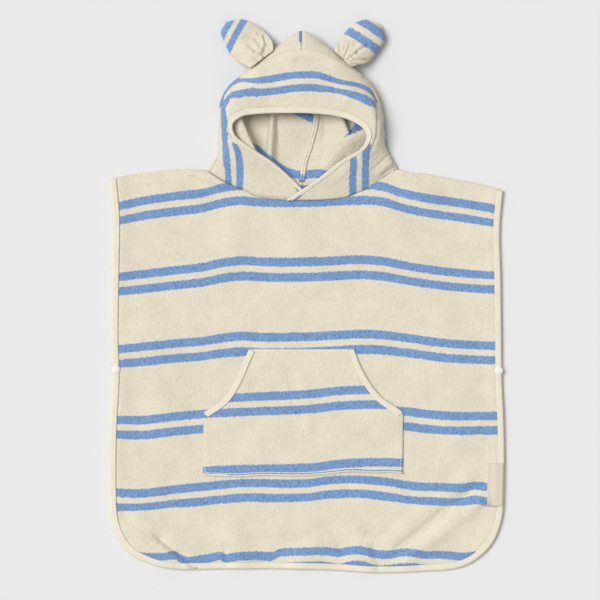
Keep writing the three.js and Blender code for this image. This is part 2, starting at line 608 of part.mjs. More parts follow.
function hoodPieces() {
  const lastRow = HOOD.length - 1;
  const halves = [[0, CROWN_ROW, -1], [CROWN_ROW, lastRow, 1]].map(([from, to, side]) => {
    const grid = hoodGrid(from, to, backLengths);
    const neck = side < 0 ? grid[0] : grid.at(-1);
    const crown = side < 0 ? grid.at(-1) : grid[0];
    seatOnNeckline(neck, backTop);
    for (const row of grid) {
      if (row !== crown) row[0].mid.x += side * SEAM_GAP / 2;
    }
    for (const point of crown) {
      point.mid.x += side * SEAM_GAP / 2;
      point.square.setX(0).normalize();
    }
    return hoodWall(grid, () => TERRY);
  });
  const band = hoodGrid(0, lastRow, bandLengths);
  seatOnNeckline(band[0], frontTop);
  seatOnNeckline(band.at(-1), frontTop);
  const cutColumn = band[0].length - 1;
  const places = band.map((row) => tapePlace(row[cutColumn].mid, row[cutColumn - 1].mid, row[cutColumn].square));
  const front = hoodWall(band, (column) => (column >= cutColumn - 1 ? PRESSED_EDGE : TERRY));
  return { front, backLeft: halves[0], backRight: halves[1], tape: foldedTape(places) };
}

// A padded ear: rounded sections from the seam to the tip, flat where it rests
function ear({ baseX, baseY, axisX, axisY, sections, tip }) {
  const place = (along, side, z) => new THREE.Vector3(
    baseX + axisX * along + axisY * side,
    baseY + axisY * along - axisX * side,
    Math.max(z, 0),
  );
  const rings = sections.map(({ along, left, right, under, over }) => Array.from({ length: EAR_SIDES }, (_, i) => {
    const angle = (i / EAR_SIDES) * 2 * Math.PI;
    const side = (left + right) / 2 + (right - left) / 2 * Math.cos(angle);
    return place(along, side, (under + over) / 2 + (over - under) / 2 * Math.sin(angle));
  }));
  const base = sections[0];
  const first = place(base.along, (base.left + base.right) / 2, (base.under + base.over) / 2);
  return loft(rings, first, place(tip.along, tip.side, tip.z));
}

// Snap fastener: cap and socket half in front, stud half behind
function turned(profile, x, y) {
  const points = profile.map(([radius, z]) => new THREE.Vector2(radius, z));
  const lathe = new THREE.LatheGeometry(points, SNAP_SEGMENTS);
  lathe.rotateX(Math.PI / 2);
  lathe.translate(x, y, 0);
  lathe.deleteAttribute('normal');
  lathe.deleteAttribute('uv');
  return faceOutward(dropFlatFaces(mergeVertices(lathe, 1e-4)));
}
function dropFlatFaces(geometry) {
  const index = [...geometry.index.array];
  const kept = [];
  for (let i = 0; i < index.length; i += 3) {
    const [a, b, c] = index.slice(i, i + 3);
    if (a !== b && b !== c && c !== a) kept.push(a, b, c);
  }
  geometry.setIndex(kept);
  return geometry;
}
function snapFront(x, y) {
  const under = FRONT_TAPE + TAPE_HEIGHT + SEAM_GAP;
  const foot = FRONT_TAPE + 0.1;
  return turned([
    [0, under - SOCKET_ROOF], [SOCKET_RADIUS, under - SOCKET_ROOF], [SOCKET_RADIUS, foot],
    [POST_RADIUS, foot], [POST_RADIUS, under], [CAP_RADIUS, under], [CAP_RADIUS, under + CAP_RIM],
    [CAP_RADIUS - CAP_RIM, under + 0.6 * CAP_HEIGHT], [0.6 * CAP_RADIUS, under + 0.9 * CAP_HEIGHT],
    [0, under + CAP_HEIGHT],
  ], x, y);
}
function snapBack(x, y) {
  const stud = FRONT_TAPE + STUD_REACH;
  return turned([
    [0, 0], [BACK_CAP_RADIUS, 0], [BACK_CAP_RADIUS, BACK_CAP_HEIGHT], [SHANK_RADIUS, BACK_CAP_HEIGHT],
    [SHANK_RADIUS, TAPE_HEIGHT], [STUD_RADIUS, TAPE_HEIGHT + STUD_BEVEL], [STUD_RADIUS, stud - STUD_BEVEL],
    [0, stud],
  ], x, y);
}

// Booleans for the snap holes
const wasm = await Module();
wasm.setup();
function toManifold(geometry) {
  const merged = mergeVertices(geometry, 1e-5);
  return new wasm.Manifold(new wasm.Mesh({
    numProp: 3,
    vertProperties: new Float32Array(merged.attributes.position.array),
    triVerts: new Uint32Array(merged.index.array),
  }));
}
function pierce(geometry, holes) {
  let solid = toManifold(geometry);
  for (const { x, y, radius, from, to } of holes) {
    solid = solid.subtract(toManifold(turned([[0, from], [radius, from], [radius, to], [0, to]], x, y)));
  }
  const mesh = solid.getMesh();
  const pierced = new THREE.BufferGeometry();
  pierced.setAttribute('position', new THREE.Float32BufferAttribute(mesh.vertProperties, 3));
  pierced.setIndex([...mesh.triVerts]);
  return pierced;
}

// Bare label over the right edge of the front panel, its points taken from the panel's edge
function label() {
  const edge = sidePlaces('right', FRONT_SETBACK, 40, 24);
  const edgeX = (y) => {
    const below = edge.findIndex((point) => point.y < y);
    const [a, b] = [edge[below - 1], edge[below]];
    return THREE.MathUtils.lerp(a.x, b.x, (a.y - y) / (a.y - b.y));
  };
  const tapeTop = FRONT_TAPE + TAPE_HEIGHT + SEAM_GAP;
  const across = [
    { inward: LABEL_FROM, under: tapeTop }, { inward: TAPE_WIDTH / 2, under: tapeTop },
    { inward: PRESSED_TO + 0.5, under: tapeTop }, { inward: FULL_FROM + 0.5, under: POCKET_FLOOR + 0.2 },
    { inward: LABEL_TO, under: POCKET_FLOOR },
  ];
  const under = [];
  for (let step = 0; step <= LABEL_STEPS; step += 1) {
    const y = THREE.MathUtils.lerp(LABEL_TOP_Y, LABEL_FOOT_Y, step / LABEL_STEPS);
    for (const place of across) {
      const x = edgeX(y) - place.inward;
      under.push(new THREE.Vector3(x, y, place.under + rise(x, y)));
    }
  }
  const over = under.map((p) => new THREE.Vector3(p.x, p.y, p.z + LABEL_WALL));
  return wall(over, under, gridFaces(LABEL_STEPS, across.length - 1));
}

// Materials and the finished poncho
const towelling = new THREE.MeshStandardMaterial({ color: CREAM, roughness: 1, metalness: 0 });
const bindingTape = new THREE.MeshStandardMaterial({ color: TAPE_COLOUR, roughness: 0.85, metalness: 0 });
const labelTape = new THREE.MeshStandardMaterial({ color: LABEL_COLOUR, roughness: 0.8, metalness: 0 });
const snapPlastic = new THREE.MeshStandardMaterial({ color: SNAP_COLOUR, roughness: 0.35, metalness: 0 });

const poncho = new THREE.Group();
function add(name, geometry, material) {
  const mesh = new THREE.Mesh(geometry, material);
  mesh.name = name;
  poncho.add(mesh);
}

const flatLift = () => 0;
const back = bodyPanel({
  topEdge: backTop, setback: 0, floor: BACK_FLOOR, tapeFloor: BACK_TAPE, lift: flatLift,
  columns: 16, straightSteps: 8, cornerSteps: 6,
});
const front = bodyPanel({
  topEdge: frontTop, setback: FRONT_SETBACK, floor: FRONT_FLOOR, tapeFloor: FRONT_TAPE, lift: rise,
  columns: 30, straightSteps: 13, cornerSteps: 6,
});
const snaps = [
  { side: 'left', x: SIDES[4].left + SNAP_INSET, y: SNAP_Y },
  { side: 'right', x: SIDES[4].right - SNAP_INSET, y: SNAP_Y - 2 },
];
const throughFront = snaps.map(({ x, y }) => (
  { x, y, radius: POST_RADIUS + HOLE_CLEARANCE, from: FRONT_TAPE - 1, to: FRONT_TAPE + TAPE_HEIGHT + 1 }));
const throughBack = snaps.map(({ x, y }) => (
  { x, y, radius: SHANK_RADIUS + HOLE_CLEARANCE, from: -1, to: TAPE_HEIGHT + 1 }));
const backCapSeats = snaps.map(({ x, y }) => (
  { x, y, radius: BACK_CAP_RADIUS + HOLE_CLEARANCE, from: -1, to: TAPE_WALL + 0.15 }));

add('body_back', pierce(back.cloth, throughBack), towelling);
add('body_binding_back', pierce(back.tape, [...throughBack, ...backCapSeats]), bindingTape);
add('body_front', pierce(front.cloth, throughFront), towelling);
add('body_binding_front', pierce(front.tape, throughFront), bindingTape);

const pocket = pocketPieces();
add('pocket', pocket.cloth, towelling);
add('pocket_binding_left', pocket.left, bindingTape);
add('pocket_binding_right', pocket.right, bindingTape);

const hood = hoodPieces();
add('hood_back_left', hood.backLeft, towelling);
add('hood_back_right', hood.backRight, towelling);
add('hood_front', hood.front, towelling);
add('hood_binding', hood.tape, bindingTape);
add('ear_left', ear(EAR_LEFT), towelling);
add('ear_right', ear(EAR_RIGHT), towelling);

for (const { side, x, y } of snaps) {
  add(`snap_${side}_front`, snapFront(x, y), snapPlastic);
  add(`snap_${side}_back`, snapBack(x, y), snapPlastic);
}
add('label', label(), labelTape);

export default poncho;
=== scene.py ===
import bisect
import math
import random

import bmesh
import bpy
from mathutils import Matrix, Vector, kdtree, noise
from mathutils.bvhtree import BVHTree


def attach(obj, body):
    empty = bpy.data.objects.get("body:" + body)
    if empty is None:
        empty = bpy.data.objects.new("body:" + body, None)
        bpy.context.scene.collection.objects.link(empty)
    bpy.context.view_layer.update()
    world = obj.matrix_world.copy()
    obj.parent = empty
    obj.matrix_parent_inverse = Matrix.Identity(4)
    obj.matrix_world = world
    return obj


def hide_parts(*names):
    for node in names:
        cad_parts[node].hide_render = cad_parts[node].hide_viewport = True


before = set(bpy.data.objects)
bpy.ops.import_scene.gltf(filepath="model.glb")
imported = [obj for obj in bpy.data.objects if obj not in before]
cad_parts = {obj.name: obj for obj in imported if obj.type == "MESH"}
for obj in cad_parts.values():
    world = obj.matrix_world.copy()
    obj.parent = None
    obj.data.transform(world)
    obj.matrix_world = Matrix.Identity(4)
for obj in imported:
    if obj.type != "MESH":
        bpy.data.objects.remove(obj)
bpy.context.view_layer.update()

# Camera, light and floor: the poncho lies on a pale grey sweep and is seen from straight above.
# A large soft light stands to the left and a little beyond the hood, and shades each fold on its right.
CAMERA_PLACE = (-0.0098, -0.0042, 3.0)
FIELD_WIDTH = 0.840
SENSOR_WIDTH = 36.0
FLOOR_SIZE = 6.0
FLOOR_COLOUR = (0.715, 0.72, 0.733, 1)
SKY_COLOUR = (1.0, 0.97, 0.92, 1)
SKY_STRENGTH = 0.44
KEY_TURN = (math.radians(-9), math.radians(-28), 0)
KEY_STRENGTH = 2.57
KEY_ANGLE = math.radians(32)
KEY_COLOUR = (0.985, 0.995, 1.0)
FLOOR_DROP = 0.0003

scene = bpy.context.scene
scene.view_settings.view_transform = "Standard"

camera = bpy.data.cameras.new("camera")
camera.sensor_width = SENSOR_WIDTH
camera.lens = SENSOR_WIDTH * CAMERA_PLACE[2] / FIELD_WIDTH
camera.clip_end = 20
camera_object = bpy.data.objects.new("camera", camera)
camera_object.location = CAMERA_PLACE
scene.collection.objects.link(camera_object)
scene.camera = camera_object

world = bpy.data.worlds.new("soft sky")
world.use_nodes = True
world.node_tree.nodes["Background"].inputs["Color"].default_value = SKY_COLOUR
world.node_tree.nodes["Background"].inputs["Strength"].default_value = SKY_STRENGTH
scene.world = world

key = bpy.data.lights.new("key light", "SUN")
key.energy = KEY_STRENGTH
key.angle = KEY_ANGLE
key.color = KEY_COLOUR
key_object = bpy.data.objects.new("key light", key)
key_object.rotation_euler = KEY_TURN
scene.collection.objects.link(key_object)


def floor_material():
    material = bpy.data.materials.new("pale grey sweep")
    material.use_nodes = True
    shader = material.node_tree.nodes["Principled BSDF"]
    shader.inputs["Base Color"].default_value = FLOOR_COLOUR
    shader.inputs["Roughness"].default_value = 0.9
    shader.inputs["Specular IOR Level"].default_value = 0.1
    return material


def as_object(name, shape):
    """Turns a bmesh into an object in the scene."""
    mesh = bpy.data.meshes.new(name)
    shape.to_mesh(mesh)
    shape.free()
    made = bpy.data.objects.new(name, mesh)
    scene.collection.objects.link(made)
    return made


floor = bmesh.new()
bmesh.ops.create_grid(floor, x_segments=1, y_segments=1, size=FLOOR_SIZE / 2)
floor_object = as_object("floor", floor)
floor_object.data.materials.append(floor_material())
floor_object.location.z = -FLOOR_DROP

# Body panels: two squares of striped terry towelling with rounded hem corners, lying on each other.
# The stripes are woven in pairs, and follow the cloth where it has shifted and sunk into soft folds.
MM = 0.001
TERRY = 2.6
SEAM_GAP = 0.3
TAPE_HEIGHT = 3.8
CUT_EDGE = 1.3
PRESSED_EDGE = 1.2
PRESSED_TO = 8.6
FULL_FROM = 11
FRONT_FLOOR = TERRY + SEAM_GAP
POCKET_FLOOR = FRONT_FLOOR + TERRY + SEAM_GAP
FRONT_TAPE = TAPE_HEIGHT + SEAM_GAP
HEM_Y = -387
SHOULDER_TIP = {"left": 164, "right": 148}
CORNER = {"left": (-178, -283), "right": (181, -280)}
CORNER_POWER = 2.2
STRAIGHT_SHARE = 0.76
FRONT_SETBACK = 2
SIDE_LINE = {
    "left": [(0, -277), (0.12, -272.5), (0.3, -273.5), (0.5, -274.5), (0.62, -273), (0.75, -276),
             (0.88, -277.5), (1, -277)],
    "right": [(0, 275.5), (0.12, 271), (0.3, 272.5), (0.5, 273.5), (0.62, 274), (0.75, 276.5), (0.88, 277.5),
              (1, 276.5)],
}
SHOULDER_LEFT = [(-278, 163), (-270, 166.5), (-245, 171), (-215, 175), (-186, 178), (-160, 177.5),
                 (-141, 176)]
SHOULDER_RIGHT = [(127, 178), (140, 174), (157, 173), (176, 170.5), (206, 164.5), (235, 159.5), (265, 151.5),
                  (277, 147)]
FRONT_NECK = [(-127, 167), (-115, 160), (-99, 153), (-85, 147.5), (-71, 140.5), (-45, 136), (-10, 135),
              (25, 136), (56, 139.5), (70, 145), (85, 151), (97, 160), (110, 169)]
BACK_NECK = [(-110, 168), (-70, 159), (-40, 155.5), (-6, 154.3), (30, 156), (65, 161), (100, 171)]
FOLDS = [
    ((-175, 172), (-118, 150), 15, 1.6),
    ((138, 168), (172, 140), 14, 4),
    ((96, 140), (150, 60), 24, 3),
    ((-92, 130), (-120, 40), 26, 3),
    ((-20, 110), (-6, 20), 34, 2.5),
    ((-222, -60), (-200, -190), 28, 2.5),
    ((196, -40), (206, -200), 26, 2.5),
    ((-240, -318), (-168, -368), 18, 6),
    ((-92, -384), (-104, -336), 18, 4),
    ((-12, -384), (6, -342), 20, 4.4),
    ((84, -384), (70, -334), 18, 4),
    ((139, -366), (242, -284), 12, 4.8),
    ((118, -340), (222, -258), 13, 3.6),
    ((-232, -345), (-196, -372), 14, 3.5),
]
CREASES = [
    ((-258, -308), (-206, -340), 9, 5, -2),
    ((-206, -340), (-178, -362), 11, 2.4, -5),
    ((-178, -362), (-157, -378), 8, 2.4, -4),
    ((-116, -346), (-111, -374), 4, 3, -2),
    ((-52, -368), (-37, -350), 6, 3, -2),
    ((-36, -346), (4, -334), 8, 7, -2.2),
    ((44, -350), (48, -376), 5, 4, -1.8),
    ((62, -338), (112, -326), 9, 8, -2),
    ((92, -350), (99, -378), 6, 5, -2),
    ((128, -352), (188, -304), 6, 7, -3),
    ((188, -304), (236, -266), 6, 5, -2.6),
    ((-164, 174), (-117, 156), 13, 4, 4.6),
    ((138, 170), (160, 154), 5, 4, -2),
    ((150, 174), (166, 160), 4, 4, -1.6),
    ((242, -296), (259, -292), 3, 2, -1.8),
    ((240, -289), (256, -285), 4, 4, 1.4),
    ((-22, -110), (-8, -190), 9, 7, -1.4),
    ((-6, -110), (2, -180), 8, 8, 1.2),
]
SWELL = 0.55
SWELL_SIZE = 52
HEM_WAVE = [(-280, 0), (-262, -1.5), (-241, 2), (-220, 5.5), (-155, 5), (-94, 6), (-10, 5.5), (46, 3.4),
            (95, 0.6), (130, 0.6), (172, 3), (200, 3.4), (228, 2.2), (241, 2), (262, 0), (280, 0)]
WAVE_FROM = 290
WAVE_FULL = 372
PAIR_PITCH = 103
PAIR_LINES = [
    [(-267, 115.5), (-225, 124.5), (-186, 130), (-147, 134.5), (-118, 142), (-90, 145), (-59, 142.5),
     (4, 142.5), (78, 145.5), (108, 143), (127, 136.5), (147, 131.5), (176, 126), (216, 120.5),
     (263, 112.5)],
    [(-266, 17.5), (-225, 22), (-186, 26.5), (-147, 31), (-118, 37), (-90, 40), (-59, 38.5), (-29, 38),
     (4, 38.5), (29, 39.5), (74, 41.5), (108, 39), (147, 32), (186, 26.5), (225, 22.5), (265, 20.5)],
    [(-266, -83.5), (-225, -79.5), (-186, -75.5), (-147, -72.5), (-118, -68), (-90, -65.5), (-59, -67),
     (4, -66), (88, -62.5), (147, -68.5), (186, -74), (225, -77), (265, -78.5)],
    [(-267, -181.5), (-231, -182.5), (-186, -177.5), (-144, -174), (-60, -172), (60, -170), (133, -170),
     (167, -174), (206, -176.5), (267, -176)],
    [(-272, -283), (-235, -285), (-186, -279.5), (-143, -275), (-88, -270), (-29, -271), (4, -270),
     (29, -266), (69, -264.5), (108, -268), (147, -274.5), (186, -276), (216, -276.5), (235, -273.5),
     (252, -276)],
    [(-220, -370), (-199, -371), (-184, -370), (-174, -377), (-164, -379), (-150, -377), (-136, -375),
     (-122, -372), (-113, -376), (-105, -373.5), (-87, -372), (-63, -372), (-49, -373), (-38, -367.5),
     (-10, -365.5), (11, -364.5), (32, -366), (46, -368), (60, -364.5), (77, -364), (95, -369.5),
     (116, -370), (130, -367), (151, -367), (165, -369.5), (193, -370), (217, -372.5), (234, -371)],
]


def line_through(points):
    """A smooth line through points: a function from the first value of each point to its second."""
    places = [place for place, _ in points]
    last = len(points) - 1

    def slope(start, end):
        return (points[end][1] - points[start][1]) / (points[end][0] - points[start][0])

    def at(place):
        row = min(max(bisect.bisect_right(places, place) - 1, 0), last - 1)
        span = places[row + 1] - places[row]
        t = (place - places[row]) / span
        slope_in = slope(max(row - 1, 0), row + 1) * span
        slope_out = slope(row, min(row + 2, last)) * span
        return (points[row][1] * (1 + 2 * t) * (1 - t) ** 2 + slope_in * t * (1 - t) ** 2
                + points[row + 1][1] * t * t * (3 - 2 * t) + slope_out * t * t * (t - 1))

    return at


def fade(value, start, end):
    """0 up to start, 1 from end on, and a smooth step between them."""
    share = min(1, max(0, (value - start) / (end - start)))
    return share * share * (3 - 2 * share)


def ridge(x, y, start, end, spread):
    """How near a place is to the line of a fold: 1 on it and 0 well away from it."""
    along = (end[0] - start[0], end[1] - start[1])
    part = ((x - start[0]) * along[0] + (y - start[1]) * along[1]) / (along[0] ** 2 + along[1] ** 2)
    near = min(1, max(0, part))
    away = math.hypot(x - start[0] - near * along[0], y - start[1] - near * along[1])
    return math.exp(-(away / spread) ** 2)


def side_of(x, y, start, end):
    """How far to the right of a line a place lies, walking from its start to its end."""
    along = (end[0] - start[0], end[1] - start[1])
    return ((x - start[0]) * along[1] - (y - start[1]) * along[0]) / math.hypot(*along)


def lip(x, y, start, end, left_spread, right_spread):
    """A fold that falls off at one rate to its left and at another to its right."""
    return ridge(x, y, start, end, right_spread if side_of(x, y, start, end) > 0 else left_spread)


def rise(x, y):
    """How far the front has lifted off the back: soft folds, sharper tucks and a slight unevenness."""
    lift = sum(height * ridge(x, y, start, end, spread) for start, end, spread, height in FOLDS)
    lift += SWELL * (1 + noise.noise(Vector((x / SWELL_SIZE, y / SWELL_SIZE, 0))))
    return max(0, lift + sum(height * lip(x, y, *line) for *line, height in CREASES))


front_top = line_through(SHOULDER_LEFT + FRONT_NECK + SHOULDER_RIGHT)
back_top = line_through(SHOULDER_LEFT + BACK_NECK + SHOULDER_RIGHT)
pair_lines = [line_through(line) for line in PAIR_LINES]
hem_wave = line_through(HEM_WAVE)


def waved(x, y):
    """A height on the panel, moved up with the wave of the hem."""
    return y + hem_wave(x) * fade(-y, WAVE_FROM, WAVE_FULL)


side_line = {side: line_through(line) for side, line in SIDE_LINE.items()}


def side_point(side, down, inward):
    """A place on the side of a panel, from the shoulder tip round the hem corner, moved in by a distance."""
    outwards = -1 if side == "left" else 1
    corner_x, corner_y = CORNER[side]
    tip = SHOULDER_TIP[side]
    if down < STRAIGHT_SHARE:
        share = down / STRAIGHT_SHARE
        return Vector((side_line[side](share) - outwards * inward, tip + (corner_y - tip) * share))
    angle = (down - STRAIGHT_SHARE) / (1 - STRAIGHT_SHARE) * math.pi / 2
    reach_x = abs(side_line[side](1) - corner_x) - inward
    reach_y = corner_y - HEM_Y - inward
    return Vector((corner_x + outwards * reach_x * max(0, math.cos(angle)) ** (2 / CORNER_POWER),
                   corner_y - reach_y * math.sin(angle) ** (2 / CORNER_POWER)))


def panel_point(across, down, inward, top):
    """A place on a panel: its four edges are blended, so that its border is exactly its outline."""
    left = side_point("left", down, inward)
    right = side_point("right", down, inward)
    first = side_point("left", 0, inward)
    last = side_point("right", 0, inward)
    foot = side_point("left", 1, inward)
    point = left.lerp(right, across)
    edge_x = first.x + (last.x - first.x) * across
    from_top = top(edge_x) - (first.y + (last.y - first.y) * across)
    depth = (first.y - left.y) / (first.y - foot.y)
    point.y += from_top * (1 - depth)
    return point


def woven_place(pairs, x, y):
    """How far up the cloth a place lies, with every pair of stripes a whole pitch from the next."""
    lines = [line(x) for line in pairs]
    if y >= lines[0]:
        return y - lines[0]
    for index in range(len(lines) - 1):
        if y >= lines[index + 1]:
            share = (lines[index] - y) / (lines[index] - lines[index + 1])
            return -(index + share) * PAIR_PITCH
    return -(len(lines) - 1) * PAIR_PITCH + y - lines[-1]


def press(shape, relief):
    """Moves the points of a shape along their normals, by relief(x, y, z) in millimetres."""
    shape.normal_update()
    moves = [corner.normal * relief(*(corner.co / MM)) * MM for corner in shape.verts]
    for corner, move in zip(shape.verts, moves):
        corner.co += move


def cloth_sheet(name, columns, rows, place, relief=None):
    """A sheet of quads. place(across, down) gives a point, its place on the cloth and its fullness."""
    sheet = bmesh.new()
    bmesh.ops.create_grid(sheet, x_segments=columns, y_segments=rows, size=0.5)
    woven = sheet.loops.layers.uv.new("cloth")
    full = sheet.verts.layers.deform.verify()
    cloth_places = []
    for corner in sheet.verts:
        share_across = corner.co.x + 0.5
        point, cloth_place, fullness = place(share_across, 0.5 - corner.co.y)
        corner.co = Vector(point) * MM
        corner[full][0] = fullness
        before, after = cloth_place if isinstance(cloth_place, list) else (cloth_place, cloth_place)
        cloth_places.append((Vector(before) * MM, Vector(after) * MM, share_across))
    sheet.verts.index_update()
    for face in sheet.faces:
        face.smooth = True
        middle = sum(cloth_places[loop.vert.index][2] for loop in face.loops) / len(face.loops)
        for loop in face.loops:
            before, after, share = cloth_places[loop.vert.index]
            loop[woven].uv = before if middle < share else after
    if relief:
        press(sheet, relief)
    piece = as_object(name, sheet)
    piece.vertex_groups.new(name="fullness")
    return piece


def thicken(piece, thickness, thinnest=1.0):
    wall = piece.modifiers.new("wall", "SOLIDIFY")
    wall.thickness = thickness * MM
    wall.offset = 0
    wall.use_even_offset = True
    wall.use_quality_normals = True
    wall.vertex_group = "fullness"
    wall.thickness_vertex_group = thinnest


LOOPS = bpy.data.textures.new("terry loops", "CLOUDS")
LOOPS.noise_scale = 0.0042
LOOPS.noise_depth = 1
TUFTS = 0.75


def add_nap(piece, height=TUFTS):
    nap = piece.modifiers.new("nap", "DISPLACE")
    nap.texture = LOOPS
    nap.texture_coords = "LOCAL"
    nap.strength = height * MM
    nap.mid_level = 0.5


def join(tree, output, socket):
    tree.links.new(output, socket)


def add_math(tree, operation, first, second=None):
    """A math node on one or two inputs, which are sockets or numbers."""
    node = tree.nodes.new("ShaderNodeMath")
    node.operation = operation
    for socket, value in zip(node.inputs, (first, second)):
        if isinstance(value, bpy.types.NodeSocket):
            join(tree, value, socket)
        elif value is not None:
            socket.default_value = value
    return node.outputs[0]


def add_step(tree, value, start, end):
    """A smooth step from 0 at start to 1 at end."""
    node = tree.nodes.new("ShaderNodeMapRange")
    node.interpolation_type = "SMOOTHSTEP"
    join(tree, value, node.inputs["Value"])
    node.inputs["From Min"].default_value = start
    node.inputs["From Max"].default_value = end
    return node.outputs["Result"]


def add_noise(tree, place, scale, detail, roughness=0.5):
    node = tree.nodes.new("ShaderNodeTexNoise")
    join(tree, place, node.inputs["Vector"])
    node.inputs["Scale"].default_value = scale
    node.inputs["Detail"].default_value = detail
    node.inputs["Roughness"].default_value = roughness
    return node.outputs["Fac"]


def add_mix(tree, share, first, second, blend="MIX"):
    """A colour between two others, which are sockets or colours."""
    node = tree.nodes.new("ShaderNodeMix")
    node.data_type = "RGBA"
    node.blend_type = blend
    for key, value in (("Factor", share), ("A", first), ("B", second)):
        socket = node.inputs[key]
        if isinstance(value, bpy.types.NodeSocket):
            join(tree, value, socket)
        else:
            socket.default_value = value
    return node.outputs["Result"]


CREAM = (0.757, 0.696, 0.569, 1)
# Painted shade: the deeper cream and blue darken the hollows between the terry loops.
CREAM_IN_SHADE = (0.655, 0.592, 0.463, 1)
BLUE = (0.192, 0.333, 0.588, 1)
BLUE_IN_SHADE = (0.122, 0.230, 0.455, 1)
# Painted highlight: the brighter cream and blue lighten scattered loop tips.
CREAM_LIT = (0.835, 0.785, 0.668, 1)
BLUE_LIT = (0.310, 0.470, 0.715, 1)
STRIPE_FROM = 4.4 * MM
STRIPE_TO = 16.6 * MM
STRIPE_BLUR = 0.9 * MM
STRIPE_WANDER = 3.8 * MM
LOOP_SIZE = 1.35 * MM


def new_material(name):
    """A material, its node tree, its shader and the socket that gives a place on the object."""
    material = bpy.data.materials.new(name)
    material.use_nodes = True
    tree = material.node_tree
    place = tree.nodes.new("ShaderNodeTexCoord").outputs["Object"]
    return material, tree, tree.nodes["Principled BSDF"], place


def add_bump(tree, shader, height, strength, distance):
    bump = tree.nodes.new("ShaderNodeBump")
    bump.inputs["Strength"].default_value = strength
    bump.inputs["Distance"].default_value = distance
    join(tree, height, bump.inputs["Height"])
    join(tree, bump.outputs["Normal"], shader.inputs["Normal"])


def towelling_material():
    material, tree, shader, place = new_material("striped towelling")
    cloth = tree.nodes.new("ShaderNodeUVMap")
    cloth.uv_map = "cloth"
    parts = tree.nodes.new("ShaderNodeSeparateXYZ")
    join(tree, cloth.outputs["UV"], parts.inputs[0])

    loops = tree.nodes.new("ShaderNodeTexVoronoi")
    loops.feature = "F1"
    loops.inputs["Scale"].default_value = 1 / LOOP_SIZE
    join(tree, place, loops.inputs["Vector"])
    loop_height = loops.outputs["Distance"]
    clumps = add_noise(tree, place, 420, 2, 0.6)
    patches = add_noise(tree, place, 38, 2)

    wander = add_math(tree, "MULTIPLY", add_math(tree, "SUBTRACT", add_noise(tree, place, 330, 2), 0.5),
                      STRIPE_WANDER)
    along = add_math(tree, "ADD", parts.outputs["Y"], wander)
    turns = add_math(tree, "ADD", add_math(tree, "DIVIDE", along, PAIR_PITCH * MM), 0.5)
    from_pair = add_math(tree, "MULTIPLY", add_math(tree, "ABSOLUTE", add_math(
        tree, "SUBTRACT", add_math(tree, "FRACT", turns), 0.5)), PAIR_PITCH * MM)
    inside = add_step(tree, from_pair, STRIPE_FROM - STRIPE_BLUR, STRIPE_FROM + STRIPE_BLUR)
    outside = add_step(tree, from_pair, STRIPE_TO - STRIPE_BLUR, STRIPE_TO + STRIPE_BLUR)
    stripe = add_math(tree, "MULTIPLY", inside, add_math(tree, "SUBTRACT", 1.0, outside))

    # Painted shade: the cream turns deeper in the hollows between the loops, which are set by the loop cells
    # and the clumps.
    loop_shade = add_step(tree, add_math(tree, "ADD", add_math(tree, "MULTIPLY", loop_height, 0.6),
                                     add_math(tree, "MULTIPLY", clumps, 0.7)), 0.42, 0.95)
    # Painted highlight: scattered loop tips are lightened, in both the cream and the blue.
    lit_tips = add_step(tree, add_noise(tree, place, 620, 3, 0.7), 0.56, 0.72)
    cream = add_mix(tree, lit_tips, add_mix(tree, loop_shade, CREAM, CREAM_IN_SHADE), CREAM_LIT)
    # Painted shade: the blue turns deeper where the clumps lie, as in the hollows between the loops.
    blue_loop_shade = add_step(tree, clumps, 0.40, 0.64)
    blue = add_mix(tree, lit_tips, add_mix(tree, blue_loop_shade, BLUE, BLUE_IN_SHADE), BLUE_LIT)
    colour = add_mix(tree, stripe, cream, blue)
    shade = tree.nodes.new("ShaderNodeMapRange")
    join(tree, patches, shade.inputs["Value"])
    shade.inputs["From Min"].default_value = 0.3
    shade.inputs["From Max"].default_value = 0.7
    shade.inputs["To Min"].default_value = 0.95
    shade.inputs["To Max"].default_value = 1.03
    bright = tree.nodes.new("ShaderNodeHueSaturation")
    join(tree, shade.outputs["Result"], bright.inputs["Value"])
    join(tree, colour, bright.inputs["Color"])
    join(tree, bright.outputs["Color"], shader.inputs["Base Color"])

    height = add_math(tree, "SUBTRACT", add_math(tree, "MULTIPLY", clumps, 1.4),
                      add_math(tree, "MULTIPLY", loop_height, 0.55))
    add_bump(tree, shader, height, 0.6, 1.1 * MM)
    shader.inputs["Roughness"].default_value = 1.0
    shader.inputs["Specular IOR Level"].default_value = 0.08
    shader.inputs["Sheen Weight"].default_value = 0.25
    shader.inputs["Sheen Roughness"].default_value = 0.6
    return material


towelling = towelling_material()


def finish(piece, material, slot, *nodes):
    """Gives a piece its material and its body, and hides the CAD nodes that it stands for."""
    piece.data.materials.append(material)
    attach(piece, "root")
    if nodes:
        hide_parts(*nodes)
    return piece


def towelling_piece(name, columns, rows, place, node, relief=None):
    piece = cloth_sheet(name, columns, rows, place, relief)
    thicken(piece, TERRY, PRESSED_EDGE / TERRY)
    add_nap(piece)
    return finish(piece, towelling, "towelling", node)


def outline_tree(setback):
    """A search tree of the sides and the hem of a panel."""
    places = [side_point(side, step / 240, setback) for side in ("left", "right") for step in range(241)]
    hem_from, hem_to = CORNER["left"][0], CORNER["right"][0]
    places += [Vector((hem_from + (hem_to - hem_from) * step / 120, HEM_Y + setback)) for step in range(121)]
    tree = kdtree.KDTree(len(places))
    for index, place in enumerate(places):
        tree.insert((place.x, place.y, 0), index)
    tree.balance()
    return tree


SHOULDER_ROLL = 4
LEVEL_FROM = 30
PAIRS_WITHIN = (-272, 268)


